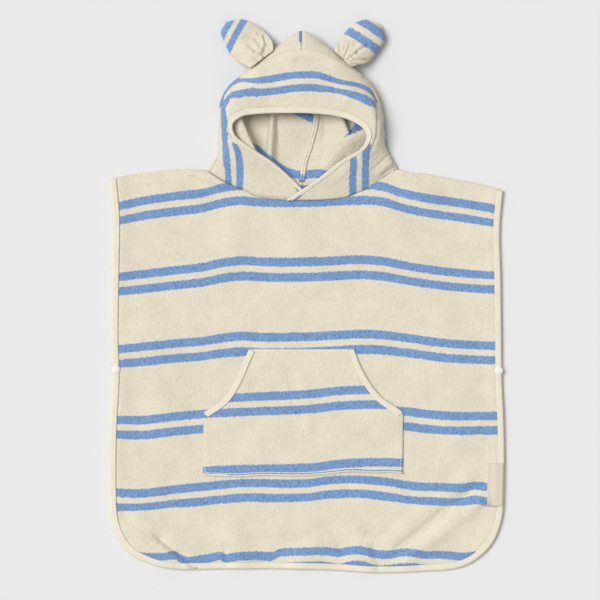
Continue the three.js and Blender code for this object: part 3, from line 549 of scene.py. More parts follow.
def body_panel(name, node, columns, rows, top, setback, floor, tape_floor, lift, upward):
    tree = outline_tree(setback)

    def place(across, down):
        x, y = panel_point(across, down, setback + CUT_EDGE, top)
        inward = tree.find((x, y, 0))[2]
        full = fade(inward, PRESSED_TO, FULL_FROM)
        middle = floor + TERRY / 2
        pressed = tape_floor + TAPE_HEIGHT / 2
        edge_roll = upward * (1 - fade(top(x) - y, 0, SHOULDER_ROLL))
        y = waved(x, y)
        z = pressed + (middle - pressed) * fade(inward, PRESSED_TO - 2, LEVEL_FROM) + lift(x, y) + edge_roll
        pairs_x = min(max(x, PAIRS_WITHIN[0]), PAIRS_WITHIN[1])
        return (x, y, z), (x, woven_place(pair_lines, pairs_x, y)), full

    return towelling_piece(name, columns, rows, place, node)


def level(x, y):
    return 0


back_panel = body_panel("back_panel", "body_back", 140, 150, back_top, 0, 0, 0, level, 0.27)
front_panel = body_panel("front_panel", "body_front", 215, 215, front_top,
                         FRONT_SETBACK, FRONT_FLOOR, FRONT_TAPE, rise, 0.3)

# Bindings of the body: cotton tape folded round the sides and the hem of each panel.
# Each is woven smooth and pale, about ten millimetres wide, and sewn on close to its inner edge.
TAPE_WIDTH = 8.6
TAPE_WALL = 1.0
TAPE_FOLD = [(TAPE_WIDTH, 3.3), (7, 3.3), (5, 3.35), (3, 3.35), (1.7, 3.3), (0.9, 2.9), (0.5, 2.3),
             (0.5, 1.5), (0.9, 0.9), (1.7, 0.5), (3, 0.45), (5, 0.45), (7, 0.5), (TAPE_WIDTH, 0.5)]
TAPE_PALE = (0.750, 0.703, 0.583, 1)
TAPE_SHADE = (0.690, 0.640, 0.520, 1)


def tape_material():
    material, tree, shader, place = new_material("binding tape")
    threads = add_noise(tree, place, 1500, 2, 0.6)
    patches = add_noise(tree, place, 90, 2)
    share = add_step(tree, add_math(tree, "ADD", add_math(tree, "MULTIPLY", threads, 0.5),
                                    add_math(tree, "MULTIPLY", patches, 0.5)), 0.35, 0.75)
    join(tree, add_mix(tree, share, TAPE_PALE, TAPE_SHADE), shader.inputs["Base Color"])
    add_bump(tree, shader, threads, 0.35, 0.3 * MM)
    shader.inputs["Roughness"].default_value = 0.8
    shader.inputs["Specular IOR Level"].default_value = 0.25
    shader.inputs["Sheen Weight"].default_value = 0.15
    return material


binding = tape_material()


def tape(name, node, steps, frames_at):
    """Tape folded round an edge. frames_at(share) gives a function from (inward, height) to a point."""
    frames = [frames_at(step / steps) for step in range(steps + 1)]

    def place(across, down):
        step = round(across * steps)
        index = round(down * (len(TAPE_FOLD) - 1))
        return frames[step](*TAPE_FOLD[index]), (step, index), 1

    piece = cloth_sheet(name, steps, len(TAPE_FOLD) - 1, place)
    thicken(piece, TAPE_WALL)
    return finish(piece, binding, "binding_tape", node)


def reaches(points):
    """How far along a row of points each of them lies."""
    reach = [0]
    for before, after in zip(points, points[1:]):
        reach.append(reach[-1] + (after - before).length)
    return reach


def point_at(points, reach, goal):
    """The place at a length along a row of points."""
    index = min(max(bisect.bisect_right(reach, goal) - 1, 0), len(points) - 2)
    span = reach[index + 1] - reach[index]
    return points[index].lerp(points[index + 1], (goal - reach[index]) / span if span else 0)


def evenly(points, steps):
    """Places at even distances along a row of points."""
    reach = reaches(points)
    return [point_at(points, reach, reach[-1] * step / steps) for step in range(steps + 1)]


def body_outline(setback, steps):
    """The edge of a panel as evenly spaced places, from one shoulder tip round the hem to the other."""
    rough = [side_point("left", step / 200, setback) for step in range(201)]
    rough += [side_point("right", 1 - step / 200, setback) for step in range(201)]
    return evenly(rough, steps)


def edge_frames(edge, inwards, floor, lift):
    """For a share of an edge, a function from (inward, height) to a point. inwards is 1 or -1."""
    steps = len(edge) - 1

    def frames_at(share):
        index = round(share * steps)
        ahead = edge[min(index + 1, steps)] - edge[max(index - 1, 0)]
        way = Vector((-ahead.y, ahead.x)).normalized() * inwards

        def point(inward, height):
            place = edge[index] + way * inward
            y = waved(place.x, place.y)
            return (place.x, y, floor + height + lift(place.x, y))

        return point

    return frames_at


BACK_STEPS = 520
FRONT_STEPS = 620
back_frames = edge_frames(body_outline(0, BACK_STEPS), 1, 0, level)
front_frames = edge_frames(body_outline(FRONT_SETBACK, FRONT_STEPS), 1, FRONT_TAPE, rise)
back_tape = tape("back_tape", "body_binding_back", BACK_STEPS, back_frames)
front_tape = tape("front_tape", "body_binding_front", FRONT_STEPS, front_frames)

# Kangaroo pocket: one piece of towelling on the front, cut so that its stripes run level with the panel's.
# Its top, sides and hem are turned in and sewn down, and its two slanted mouths are bound with tape.
POCKET_TOP = -73
POCKET_FOOT = -246
POCKET_EDGE = {
    "left": [(73, -81), (92, -89.5), (110, -97), (127, -106), (141, -116), (150, -127), (156, -136),
             (162, -144.5), (180, -144.5), (210, -144.5), (246, -145)],
    "right": [(73, 66), (92, 73), (110, 82), (127, 93), (141, 106), (150, 119), (156, 128), (162, 134),
              (180, 134), (210, 134), (246, 133.5)],
}
POCKET_PAIRS = [
    [(-144, -153), (-95, -150.5), (4, -146), (39, -142), (78, -140), (134, -140.5)],
    [(-144, -253), (-108, -251), (4, -248.5), (49, -243), (88, -241), (134, -241.5)],
]
MOUTH_END = 162
POCKET_HEM = [(-145, -249), (-120, -250.5), (-97, -251), (-60, -249), (-10, -249.8), (30, -247), (59, -244),
              (90, -245.2), (115, -244.8), (134, -246.5)]
HEM_IN = 4.4
STRIPE_STEP = 21
HEM_SLIVER = (1.6, 3.6)
SLIVER_FROM = -112
POCKET_ROWS = 150
EDGE_SUNK = 0.8
FOOT_ROLL = 0.7
HEM_SUNK = 0.9
MOUTH_STEPS = 80

pocket_hem = line_through(POCKET_HEM)
pocket_pairs = [line_through(line) for line in POCKET_PAIRS]


def pocket_edge(side, end, steps):
    """Even places down a side of the pocket, from its top to an end."""
    line = line_through(POCKET_EDGE[side])
    return evenly([Vector((line(y / 2), -y / 2)) for y in range(-2 * POCKET_TOP, int(2 * end) + 1)], steps)


pocket_sides = {side: pocket_edge(side, -POCKET_FOOT, POCKET_ROWS) for side in POCKET_EDGE}


def pocket_woven(x, y):
    """How far up the pocket's cloth a place lies. Near the hem the next stripe shows in a thin line."""
    from_foot = y - pocket_hem(x)
    sliver_end = HEM_SLIVER[1] + 1.1 * noise.noise(Vector((x / 16, 8, 0)))
    if from_foot < HEM_SLIVER[0]:
        return -PAIR_PITCH
    if from_foot < sliver_end and x > SLIVER_FROM:
        return -PAIR_PITCH - STRIPE_STEP / 2
    upper, lower = pocket_pairs[0](x), pocket_pairs[1](x)
    return min(-PAIR_PITCH * (upper - y) / (upper - lower), PAIR_PITCH / 2)


def pocket_place(across, down):
    index = round(down * POCKET_ROWS)
    left, right = pocket_sides["left"][index], pocket_sides["right"][index]
    x, y = left.lerp(right, across)
    edge = min(abs(x - left.x), abs(right.x - x))
    bound = 1 if y > -MOUTH_END else 0
    full = 1 - bound * (1 - fade(edge, PRESSED_TO - 1, FULL_FROM - 1))
    if y < -MOUTH_END:
        y = -MOUTH_END + (y + MOUTH_END) * (pocket_hem(x) + MOUTH_END) / (POCKET_FOOT + MOUTH_END)
    middle = POCKET_FLOOR + TERRY / 2
    from_foot = y - pocket_hem(x)
    sewn = max(1 - fade(POCKET_TOP - y, 0, 4), (1 - bound) * (1 - fade(edge, 0, 5)))
    z = middle + rise(x, y) - EDGE_SUNK * sewn + FOOT_ROLL * math.exp(-((from_foot - 1) / 1.4) ** 2)
    z -= HEM_SUNK * math.exp(-((from_foot - HEM_IN) / 1.3) ** 2)
    return (x, y, z), (x, pocket_woven(x, y)), full


pocket_cloth = towelling_piece("pocket_cloth", 130, POCKET_ROWS, pocket_place, "pocket")
mouths = {side: pocket_edge(side, MOUTH_END - 0.5, MOUTH_STEPS) for side in POCKET_EDGE}
pocket_frames = {side: edge_frames(mouths[side], inwards, POCKET_FLOOR, rise)
                 for side, inwards in (("left", 1), ("right", -1))}
pocket_tapes = [tape(f"pocket_tape_{side}", f"pocket_binding_{side}", MOUTH_STEPS, frames)
                for side, frames in pocket_frames.items()]

# Hood: two back halves with a seam down their middle, and a front band sewn round them.
# It stands open on its own back, with the band turned forward as a soft brim and its two ends crossed.
NECK_GAP = 0.4
HOOD_SEAM_GAP = 0.3
CROWN_ROW = 10
HOOD_KEYS = ("back x", "back y", "roll x", "roll y", "roll z", "seam x", "seam y", "seam z",
             "crest x", "crest y", "crest z", "edge x", "edge y", "edge z")
HOOD = {
    "left neck": (-6, 155, -138, 177, 2.75, -135, 176, 4.2, -83, 148, 4.3, 7, 136, 4.8),
    "left collar": (-6, 169, -130, 188, 6, -128, 188, 9, -85, 174, 13, -12, 156, 9),
    "left jaw": (-3, 188, -123, 202, 8, -121, 202, 12, -89, 196, 22, -42, 183, 19),
    "left cheek": (3, 206, -123, 218, 9, -121, 219, 14, -104, 213, 26, -71, 202, 28),
    "left temple": (8, 224, -122, 236, 10, -121, 237, 15, -113, 232, 26, -97, 219, 33),
    "left turn": (12, 241, -121, 255, 12, -120, 256, 17, -114, 254, 31, -103, 238, 35.5),
    "left brow": (13, 262, -118, 277, 14, -117, 278, 21, -104, 275, 38, -89, 250, 35),
    "left crown side": (8, 287, -103, 298, 16, -100, 297, 25, -82, 287, 39, -68, 253, 36),
    "left ear": (-4, 315, -73, 322, 18, -69, 320, 30, -57, 300, 39, -46, 254, 37),
    "left crown": (-7, 339, -40, 348, 18, -36, 337, 34, -31, 306, 40, -24, 254, 38),
    "crown": (-7, 354, -7, 369, 18, -7, 342, 37, -7, 302, 41, -6, 254, 38),
    "right crown": (-7, 339, 26, 349, 18, 22, 338, 34, 18, 304, 40, 14, 253, 38),
    "right ear": (-4, 315, 58, 322, 18, 54, 320, 30, 43, 298, 39, 34, 251, 37),
    "right crown side": (8, 287, 86, 298, 16, 83, 296, 25, 68, 284, 39, 52, 247, 36),
    "right brow": (13, 262, 100, 273, 14, 98, 272, 21, 87, 268, 38, 68, 240, 36),
    "right turn": (12, 241, 105, 250, 12, 104, 249, 18, 96, 247, 37, 79, 231, 36),
    "right temple": (8, 224, 107, 226, 10, 106, 226, 16, 97, 227, 36, 82, 219, 36),
    "right cheek": (3, 206, 110, 206, 9, 109, 206, 14, 92, 208, 32, 72, 203, 33),
    "right jaw": (-3, 188, 116, 193, 8, 115, 193, 12, 84, 190, 24, 46, 188, 26),
    "right collar": (-6, 169, 122, 185, 6, 120, 185, 9, 78, 170, 15, 12, 162, 18),
    "right neck": (-6, 155, 126, 179, 2.75, 123, 178, 4.2, 44, 138, 6.6, -29, 135, 9.8),
}
LAST_ROW = len(HOOD) - 1
SECTION_SAMPLES = 20

hood_value = {key: line_through([(row, values[column]) for row, values in enumerate(HOOD.values())])
              for column, key in enumerate(HOOD_KEYS)}


def curve_points(points, samples):
    """Points along a smooth curve through a few points, whose bends stay tight where the points lie close."""
    ends = [points[0] * 2 - points[1]] + points + [points[-1] * 2 - points[-2]]
    line = []
    for before, start, end, after in zip(ends, ends[1:], ends[2:], ends[3:]):
        gap_before = max((start - before).length, 1e-4) ** 0.5
        gap = max((end - start).length, 1e-4) ** 0.5
        gap_after = max((after - end).length, 1e-4) ** 0.5
        way_in = ((start - before) / gap_before - (end - before) / (gap_before + gap)
                  + (end - start) / gap) * gap
        way_out = ((end - start) / gap - (after - start) / (gap + gap_after)
                   + (after - end) / gap_after) * gap
        for sample in range(samples):
            t = sample / samples
            line.append(start * (1 + 2 * t) * (1 - t) ** 2 + way_in * t * (1 - t) ** 2
                        + end * t * t * (3 - 2 * t) + way_out * t * t * (t - 1))
    return line + [points[-1]]


class HoodSection:
    """The line of the hood's cloth at a place between two rows, from mid back to the face edge."""

    def __init__(self, place):
        value = {key: hood_value[key](place) for key in HOOD_KEYS}
        half = TERRY / 2
        back = Vector((value["back x"], value["back y"], half))
        roll = Vector((value["roll x"], value["roll y"], value["roll z"]))
        flat = Vector((roll.x, roll.y, half))
        turn = flat.lerp(back, min(0.4, 0.9 * (roll.z - half) / (flat - back).length))
        corners = [back, back.lerp(turn, 0.6), turn, roll]
        for point in ("seam", "crest", "edge"):
            corners.append(Vector([value[f"{point} {axis}"] for axis in "xyz"]))
        self.line = curve_points(corners, SECTION_SAMPLES)
        self.reach = reaches(self.line)
        self.seam = self.reach[4 * SECTION_SAMPLES]
        self.total = self.reach[-1]

    def at(self, length):
        point = point_at(self.line, self.reach, length)
        point.z = max(point.z, TERRY / 2)
        return point


HOOD_STEPS = 8
CROWN_STEP = CROWN_ROW * HOOD_STEPS
LAST_STEP = LAST_ROW * HOOD_STEPS
sections = [HoodSection(step / HOOD_STEPS) for step in range(LAST_STEP + 1)]
BACK_PAIRS = {
    -1: [[(-140, 270), (-119, 276), (-90, 288), (-60, 288), (-25, 274), (6, 260), (20, 254)],
         [(-140, 190), (-119, 200), (-73, 197), (-43, 174), (-25, 164), (-6, 159.5), (20, 159)]],
    1: [[(-20, 305), (15, 296), (48, 282), (60, 252), (70, 244), (106, 227), (140, 212)],
        [(-20, 159), (-6, 160), (15, 162), (40, 157), (80, 138), (120, 112), (140, 96)]],
}
FLAP_EDGE = ((-94, 252), (-73, 204))
INNER_LIPS = {
    -1: [(*FLAP_EDGE, 2.4, 34, 24), ((-48, 262), (-53, 186), 7, 4, 12), ((-26, 246), (10, 242), 22, 22, 7)],
    1: [((57, 223), (84, 234), 3, 22, 16), ((28, 188), (57, 223), 3.5, 18, 9),
        ((-26, 246), (10, 242), 22, 22, 7), ((44, 262), (58, 227), 2.6, 26, 13)],
}
PATCH_CORNER = (58, 231)
PATCH_SLOPE = 1.25
PATCH_ACROSS = (20, 90)
PATCH_FOOT = 205
PLAIN_FROM = 305
PLAIN_CROWN = 45
FLAP_TOP = 262
BEHIND_CHEEK = (90, 103)
CROWN_STRIPE = (349, 353)
back_pairs = {side: [line_through(line) for line in lines] for side, lines in BACK_PAIRS.items()}


def inner_folds(side, x, y):
    return max(height * lip(x, y, *line) for *line, height in INNER_LIPS[side])


def back_woven(side, x, y):
    """How far a place on the back of the hood lies from its nearest pair of stripes."""
    behind_flap = side < 0 and y < FLAP_TOP and side_of(x, y, *FLAP_EDGE) > 0
    behind_cheek = side > 0 and BEHIND_CHEEK[0] < x < BEHIND_CHEEK[1]
    if behind_flap or behind_cheek:
        return -PAIR_PITCH / 2
    if side > 0 and PATCH_ACROSS[0] < x <= PATCH_ACROSS[1] and y > PATCH_FOOT:
        if y > PLAIN_FROM:
            return PAIR_PITCH / 2
        below_edge = y < PATCH_CORNER[1] + PATCH_SLOPE * (x - PATCH_CORNER[0])
        in_patch = below_edge and side_of(x, y, *INNER_LIPS[1][0][:2]) < 0
        return -STRIPE_STEP / 2 if in_patch else -PAIR_PITCH / 2
    upper, lower = (y - line(x) for line in back_pairs[side])
    if abs(upper) < abs(lower):
        return max(min(upper, PLAIN_CROWN), -PLAIN_CROWN)
    return max(min(lower, PLAIN_CROWN), -PLAIN_CROWN) - PAIR_PITCH


def crown_sliver(y):
    """The end of a stripe that shows beside the seam at the very top."""
    return STRIPE_STEP / 2 + (PLAIN_CROWN - 5) * (1 - fade(y, *CROWN_STRIPE))


def hood_back(side):
    name = "left" if side < 0 else "right"
    first = 0 if side < 0 else CROWN_STEP

    def place(across, down):
        step = first + round(across * CROWN_STEP)
        section = sections[step]
        share = 1 - (1 - down) ** 1.25
        point = section.at(share * (section.seam - HOOD_SEAM_GAP / 2))
        if step not in (first, first + CROWN_STEP) or down == 0:
            point.x += side * SEAM_GAP / 2 * (1 - fade(down, 0, 0.05))
        if step in (0, LAST_STEP):
            point.y = back_top(point.x) + NECK_GAP
        if section.reach[2 * SECTION_SAMPLES] > share * section.seam:
            point.z += inner_folds(side, point.x, point.y)
        woven = (point.x, back_woven(side, point.x, point.y))
        sliver = (point.x, crown_sliver(point.y))
        if side < 0 and step == CROWN_STEP:
            return point, sliver, 1
        if side < 0 and step == CROWN_STEP - 1:
            return point, [woven, sliver], 1
        return point, woven, 1

    return towelling_piece(f"hood_back_{name}_cloth", CROWN_STEP, 110, place, f"hood_back_{name}")


hood_backs = [hood_back(-1), hood_back(1)]
OUT_OF_SIGHT = 200
LEFT_STRIPES = {
    "outer": [(0, 29.5), (1, 18.5), (2, 10), (3, 10.5), (4, 12.5), (5, 11.5), (5.5, 7)],
    "inner": [(0, 47), (1, 37), (2, 28.5), (3.1, 26.5)],
}
BRIM_STRIPES = {
    "outer": [(5.5, 7), (6, 2), (6.5, -2), (7, -1), (7.25, 9), (7.5, 19), (8, 25.5), (9, 34), (10, 36),
              (11, 34), (11.5, 31), (12, 27), (12.5, 21.5), (13, 12.5), (13.5, 5), (14, -4), (15.5, -30)],
    "inner": [(5.4, 12.5), (6, 18.5), (6.5, 24.5), (7, 31), (8, 42.5), (9, 51.5), (10, 53.5), (11, 51),
              (11.5, 45.5), (12, 40), (12.5, 35), (13, 30.5), (13.5, 25), (14, 19.5), (14.5, 9), (15, -6),
              (15.5, -20)],
}
RIGHT_STRIPES = {
    "outer": [(15.5, 48), (16.5, 39), (17, 35.5), (17.5, 35.5), (18, 36.5), (18.5, 39), (19, 42), (20, 48.5)],
    "inner": [(15.5, 66), (17.5, 54.5), (18, 53.5), (18.5, 56), (19, 60), (20, 68)],
}
STRETCHES = [(stripes, {name: line_through(line) for name, line in stripes.items()})
             for stripes in (LEFT_STRIPES, BRIM_STRIPES, RIGHT_STRIPES)]


def band_stripe(name, row, near):
    """How far from the outer seam the middle of a stripe runs at a row, on the stretch that near lies in."""
    for stripes, lines in STRETCHES:
        if stripes[name][0][0] <= near < stripes[name][-1][0]:
            return lines[name](row)
    return OUT_OF_SIGHT


END_PATCHES = [(0.3, 0.8, 13.5), (19.7, 20.1, 16)]


def band_woven(row, near, length, from_edge):
    """How far across its cloth a place on the band lies, from the middle between its two stripes."""
    if any(start < near < end and from_edge < reach for start, end, reach in END_PATCHES):
        return STRIPE_STEP / 2
    outer, inner = band_stripe("outer", row, near), band_stripe("inner", row, near)
    apart = inner - outer
    scale = STRIPE_STEP / apart if 12 < apart < 26 else 1
    if length < (outer + inner) / 2:
        return max(min((length - outer) * scale - STRIPE_STEP / 2, 0), -PLAIN_CROWN)
    return min(max((length - inner) * scale + STRIPE_STEP / 2, 0), PLAIN_CROWN)


HALF_STEP = 0.5 / HOOD_STEPS
FOLD_ROWS = (12, 15.6)
RIGHT_FOLD = [(200, 88), (206, 90), (222, 96.5), (248, 98.5), (271, 96.5), (293, 90), (300, 86)]
right_fold = line_through(RIGHT_FOLD)


def band_place(across, down):
    step = round(across * LAST_STEP)
    section = sections[step]
    start = section.seam + HOOD_SEAM_GAP / 2
    length = start + down * (section.total - CUT_EDGE - start)
    point = section.at(length)
    if step in (0, LAST_STEP):
        point.y = front_top(point.x) + NECK_GAP
    full = fade(section.total - length, PRESSED_TO, FULL_FROM)
    row = step / HOOD_STEPS
    places = [band_woven(row, row + half, length - section.seam, section.total - length)
              for half in (-HALF_STEP, HALF_STEP)]
    if FOLD_ROWS[0] < row < FOLD_ROWS[1] and point.x > right_fold(point.y):
        places = [math.copysign(PLAIN_CROWN, place) for place in places]
    woven = [(step, place) for place in places]
    return point, woven, full


BRIM_CREASES = [
    ((90, 293), (96, 271), 2.2, -3.2), ((96, 271), (98, 248), 2.2, -3.4),
    ((98, 248), (96.5, 222), 2.2, -3.2), ((96.5, 222), (90, 206), 2.2, -2),
    ((-116, 266), (-110.5, 241), 2, -3.2), ((-110.5, 241), (-105, 224), 2, -3.2),
    ((-105, 224), (-102, 214), 2, -2), ((-12, 325), (26, 321), 7, -4), ((-68, 306), (-60, 282), 7, 1.6),
    ((-58, 268), (-48, 258), 5, -1.4), ((60, 290), (52, 268), 6, 1.4), ((-30, 296), (20, 300), 8, 1.2),
    ((-40, 178), (-78, 206), 5, 1.2), ((28, 190), (-2, 162), 6, 1.2), ((40, 165), (78, 196), 7, 1.2),
    ((90, 176), (112, 196), 2.2, -1.4), ((98, 172), (119, 190), 2.2, 1.2),
    ((106, 171), (124, 184), 2.2, -1.4), ((-128, 192), (-108, 172), 2.4, -1.6),
    ((-118, 198), (-100, 180), 3, 1), ((-112, 172), (-96, 158), 2.6, -1.4),
]


def brim_relief(x, y, z):
    return sum(height * ridge(x, y, start, end, spread) for start, end, spread, height in BRIM_CREASES)


hood_band = towelling_piece("hood_band", LAST_STEP, 52, band_place, "hood_front", brim_relief)


def hood_frames(share):
    step = round(share * LAST_STEP)
    section = sections[step]
    before = sections[max(step - 1, 0)]
    after = sections[min(step + 1, LAST_STEP)]
    cut = section.at(section.total - CUT_EDGE)
    out = (cut - section.at(section.total - PRESSED_TO)).normalized()
    along = after.at(after.total - CUT_EDGE) - before.at(before.total - CUT_EDGE)
    up = out.cross(along).normalized()
    return lambda inward, height: cut + out * (CUT_EDGE - inward) + up * (height - TAPE_HEIGHT / 2)


hood_tape = tape("hood_tape", "hood_binding", LAST_STEP, hood_frames)

# Ears: each is two layers of towelling, sewn round, turned, softly padded, and gathered into the crown seam.
# They lie outward on the surface, and their own stripes run across them.
EARS = {
    "left": {
        "base": (-69.5, 328.5), "axis": (-0.612, 0.791), "tip": 70.5, "lean": 0.2,
        "grain": (-0.88, 0.47), "pair": 51, "spread": 16.5,
        "sections": [(-4.2, -14, 25, 28.8, 36), (6, -18, 32, 20, 34), (14, -21, 33.5, 7, 31),
                     (28, -23.5, 33, -2, 27), (41, -22, 30, -2, 25), (51, -19.5, 25, -1, 23),
                     (60, -17, 19, 1, 20), (67, -13, 10, 4, 16)],
    },
    "right": {
        "base": (50.5, 329.5), "axis": (0.702, 0.712), "tip": 72.5, "lean": -0.06,
        "grain": (0.54, 0.84), "pair": 48.5, "spread": 21.5,
        "sections": [(-1.5, -16, 14, 28, 35.5), (7, -21.5, 20, 19, 34), (16, -25, 25, 6, 31),
                     (32, -26, 26, -2, 27), (44, -26, 24.5, -2, 25), (54, -23.5, 23, -1, 23),
                     (63, -18, 19.5, 1, 20), (69, -11, 12, 4, 16)],
    },
}
EAR_FOOT = 0.02
EAR_TOP = 0.97
EAR_PAST = 2.5
EAR_CLOSES = 0.9
EAR_CREASES = {
    "left": [((-85, 346), (-75, 338.5), 1.8, -4.2), ((-75, 338.5), (-63, 333), 1.8, -4.4),
             ((-60, 362), (-56, 350), 1.3, 1.5), ((-56, 350), (-59, 339), 1.3, 1.6),
             ((-59, 339), (-66, 332), 1.3, 1.5), ((-64, 363), (-60.5, 350), 2, -2.6),
             ((-60.5, 350), (-64, 340), 2, -2.8), ((-73, 366), (-66, 357), 2.2, -1.8),
             ((-97, 340), (-76, 330), 3.6, -2.2), ((-76, 356), (-65, 341), 3, -2.4),
             ((-82, 329), (-71, 326), 2.2, -2.2), ((-92, 360), (-84, 348), 7, -1.8),
             ((-70, 346), (-68, 338), 2, -1.8)],
    "right": [((84, 350), (70, 340), 1.8, -4), ((70, 340), (57, 329), 1.8, -4),
              ((84, 329), (62, 327.5), 1.8, -2.8), ((60, 350), (52, 330), 2, -3),
              ((45, 350), (47.5, 331), 2.2, -2.2), ((64, 322), (78, 320), 2.4, -2.2),
              ((68, 352), (58, 336), 2.6, -1.8), ((58, 334), (63, 331), 1.3, 1.5),
              ((52, 348), (50, 338), 1.8, -1.6)],
}


def ear_relief(name, x, y, z):
    """Creases on the upper side, which die out towards the rim."""
    relief = sum(height * ridge(x, y, start, end, spread) for start, end, spread, height in EAR_CREASES[name])
    return fade(z, 12, 20) * relief


def ear(name, base, axis, tip, lean, grain, pair, spread, sections):
    edges = [line_through([(row[0], row[column]) for row in sections]) for column in range(1, 5)]
    start, end = sections[0][0], sections[-1][0]
    pad = bmesh.new()
    bmesh.ops.create_uvsphere(pad, u_segments=96, v_segments=64, radius=1)
    woven = pad.loops.layers.uv.new("cloth")
    places = []
    for corner in pad.verts:
        turn = math.atan2(corner.co.y, corner.co.x)
        height = math.asin(min(1, max(-1, corner.co.z))) / math.pi + 0.5
        if height < EAR_FOOT:
            along, close = start, 0
        elif height > EAR_TOP:
            along, close = tip, 0
        else:
            share = (height - EAR_FOOT) / (EAR_TOP - EAR_FOOT)
            along = start + (end + EAR_PAST - start) * share
            close = max(0, math.cos(max(0, share - EAR_CLOSES) / (1 - EAR_CLOSES) * math.pi / 2)) ** 0.5
        at = min(max(along, start), end)
        left, right, under, over = (edge(at) for edge in edges)
        middle = (left + right) / 2
        side = middle + (right - left) / 2 * math.cos(turn) * close
        z = (under + over) / 2 + (over - under) / 2 * math.sin(turn) * close
        z = max(z - lean * side * max(0, math.sin(turn)) * close, 0)
        x = base[0] + axis[0] * along + axis[1] * side
        y = base[1] + axis[1] * along - axis[0] * side
        corner.co = Vector((x, y, z)) * MM
        woven_up = (x - base[0]) * grain[0] + (y - base[1]) * grain[1] - pair
        places.append((x * MM, woven_up * STRIPE_STEP / spread * MM))
    pad.verts.index_update()
    for face in pad.faces:
        face.smooth = True
        for loop in face.loops:
            loop[woven].uv = places[loop.vert.index]
    bmesh.ops.recalc_face_normals(pad, faces=pad.faces)
    press(pad, lambda x, y, z: ear_relief(name, x, y, z))
    piece = as_object(f"ear_{name}_pad", pad)
    add_nap(piece)
    finish(piece, towelling, "towelling", f"ear_{name}")
    return piece


ears = [ear(name, **sizes) for name, sizes in EARS.items()]

# Sewing: the allowance of the hood's back seam, pressed flat inside, and rows of short stitches.
# The thread is pale cotton, sunk a little into the loops, along each binding, hem and seam that it holds.
ALLOWANCE_WIDTH = 6.6
ALLOWANCE_WALL = 1.6
ALLOWANCE_FOOT = 161
ALLOWANCE_LENGTH = 118
ALLOWANCE_LIFT = 1.4
ALLOWANCE_ROLL = 1.1
ALLOWANCE_GROOVE = 0.8
ALLOWANCE_WANDER = 0.5
BACK_SEAM = [(row["back y"], row["back x"]) for row in
             (dict(zip(HOOD_KEYS, values)) for values in list(HOOD.values())[1:CROWN_ROW])]
STITCH_PITCH = 3.6
STITCH_SHARE = 0.74
THREAD = 0.42
THREAD_PALE = (0.92, 0.89, 0.80, 1)
THREAD_SHADE = (0.80, 0.76, 0.66, 1)
back_seam = line_through(BACK_SEAM)


def allowance_place(across, down):
    y = ALLOWANCE_FOOT + ALLOWANCE_LENGTH * (1 - across)
    x = back_seam(y) + ALLOWANCE_WIDTH * (down - 0.5)
    x += ALLOWANCE_WANDER * noise.noise(Vector((y / 9, down, 0)))
    from_seam = abs(2 * down - 1)
    z = TERRY + ALLOWANCE_LIFT + inner_folds(-1 if x < back_seam(y) else 1, x, y)
    z -= ALLOWANCE_ROLL * from_seam ** 4 + ALLOWANCE_GROOVE * math.exp(-(from_seam / 0.22) ** 2)
    return (x, y, z), (x, back_woven(-1 if x < 3 else 1, x, y + 5)), 1


seam_allowance = cloth_sheet("seam_allowance", 90, 16, allowance_place)
thicken(seam_allowance, ALLOWANCE_WALL)
add_nap(seam_allowance, 0.5)
finish(seam_allowance, towelling, "towelling")


def two_tone(name, pale, shade, scale, detail, roughness):
    """A plain material whose colour wanders between two tones."""
    material, tree, shader, place = new_material(name)
    wander = add_noise(tree, place, scale, detail)
    join(tree, add_mix(tree, wander, pale, shade), shader.inputs["Base Color"])
    shader.inputs["Roughness"].default_value = roughness
    return material


def laid(path, *pieces):
    """Places seen from straight above, dropped on the cloth of some pieces."""
    graph = bpy.context.evaluated_depsgraph_get()
    trees = [BVHTree.FromObject(piece, graph) for piece in pieces]
    row = []
    for x, y in path:
        hits = [tree.ray_cast(Vector((x * MM, y * MM, 0.2)), Vector((0, 0, -1)))[0] for tree in trees]
        found = [hit.z for hit in hits if hit]
        if found:
            row.append(Vector((x, y, max(found) / MM)))
    return row


thread = two_tone("sewing thread", THREAD_PALE, THREAD_SHADE, 2400, 1, 0.6)
hand = random.Random(5)
stitch = bmesh.new()
bmesh.ops.create_uvsphere(stitch, u_segments=6, v_segments=5, radius=1)
stitch.verts.index_update()
stitch_corners = [corner.co.copy() for corner in stitch.verts]
stitch_faces = [[corner.index for corner in face.verts] for face in stitch.faces]
stitch.free()


def sew(name, rows, size=THREAD):
    """Rows of stitches, each one turned and stretched to its place along the row."""
    corners, faces = [], []
    for row in rows:
        length = sum((ahead - here).length for here, ahead in zip(row, row[1:]))
        ends = evenly(row, max(1, round(length / STITCH_PITCH)))
        for here, ahead in zip(ends, ends[1:]):
            reach = (ahead - here) * STITCH_SHARE * hand.uniform(0.85, 1.1)
            middle = (here + ahead) / 2 + Vector([hand.uniform(-0.15, 0.15) for _ in range(3)])
            radius = size * hand.uniform(0.85, 1.2)
            shape = (reach.to_track_quat("Z", "Y").to_matrix()
                     @ Matrix.Diagonal((radius, radius, reach.length / 2)))
            first = len(corners)
            corners += [(middle + shape @ corner) * MM for corner in stitch_corners]
            faces += [[first + index for index in face] for face in stitch_faces]
    mesh = bpy.data.meshes.new(name)
    mesh.from_pydata(corners, [], faces)
    mesh.shade_smooth()
    piece = bpy.data.objects.new(name, mesh)
    scene.collection.objects.link(piece)
    return finish(piece, thread, "binding_tape")


def along_tape(frames_at, steps, height, inward=TAPE_WIDTH - 1.4):
    return [Vector(frames_at(step / steps)(inward, height)) for step in range(steps + 1)]


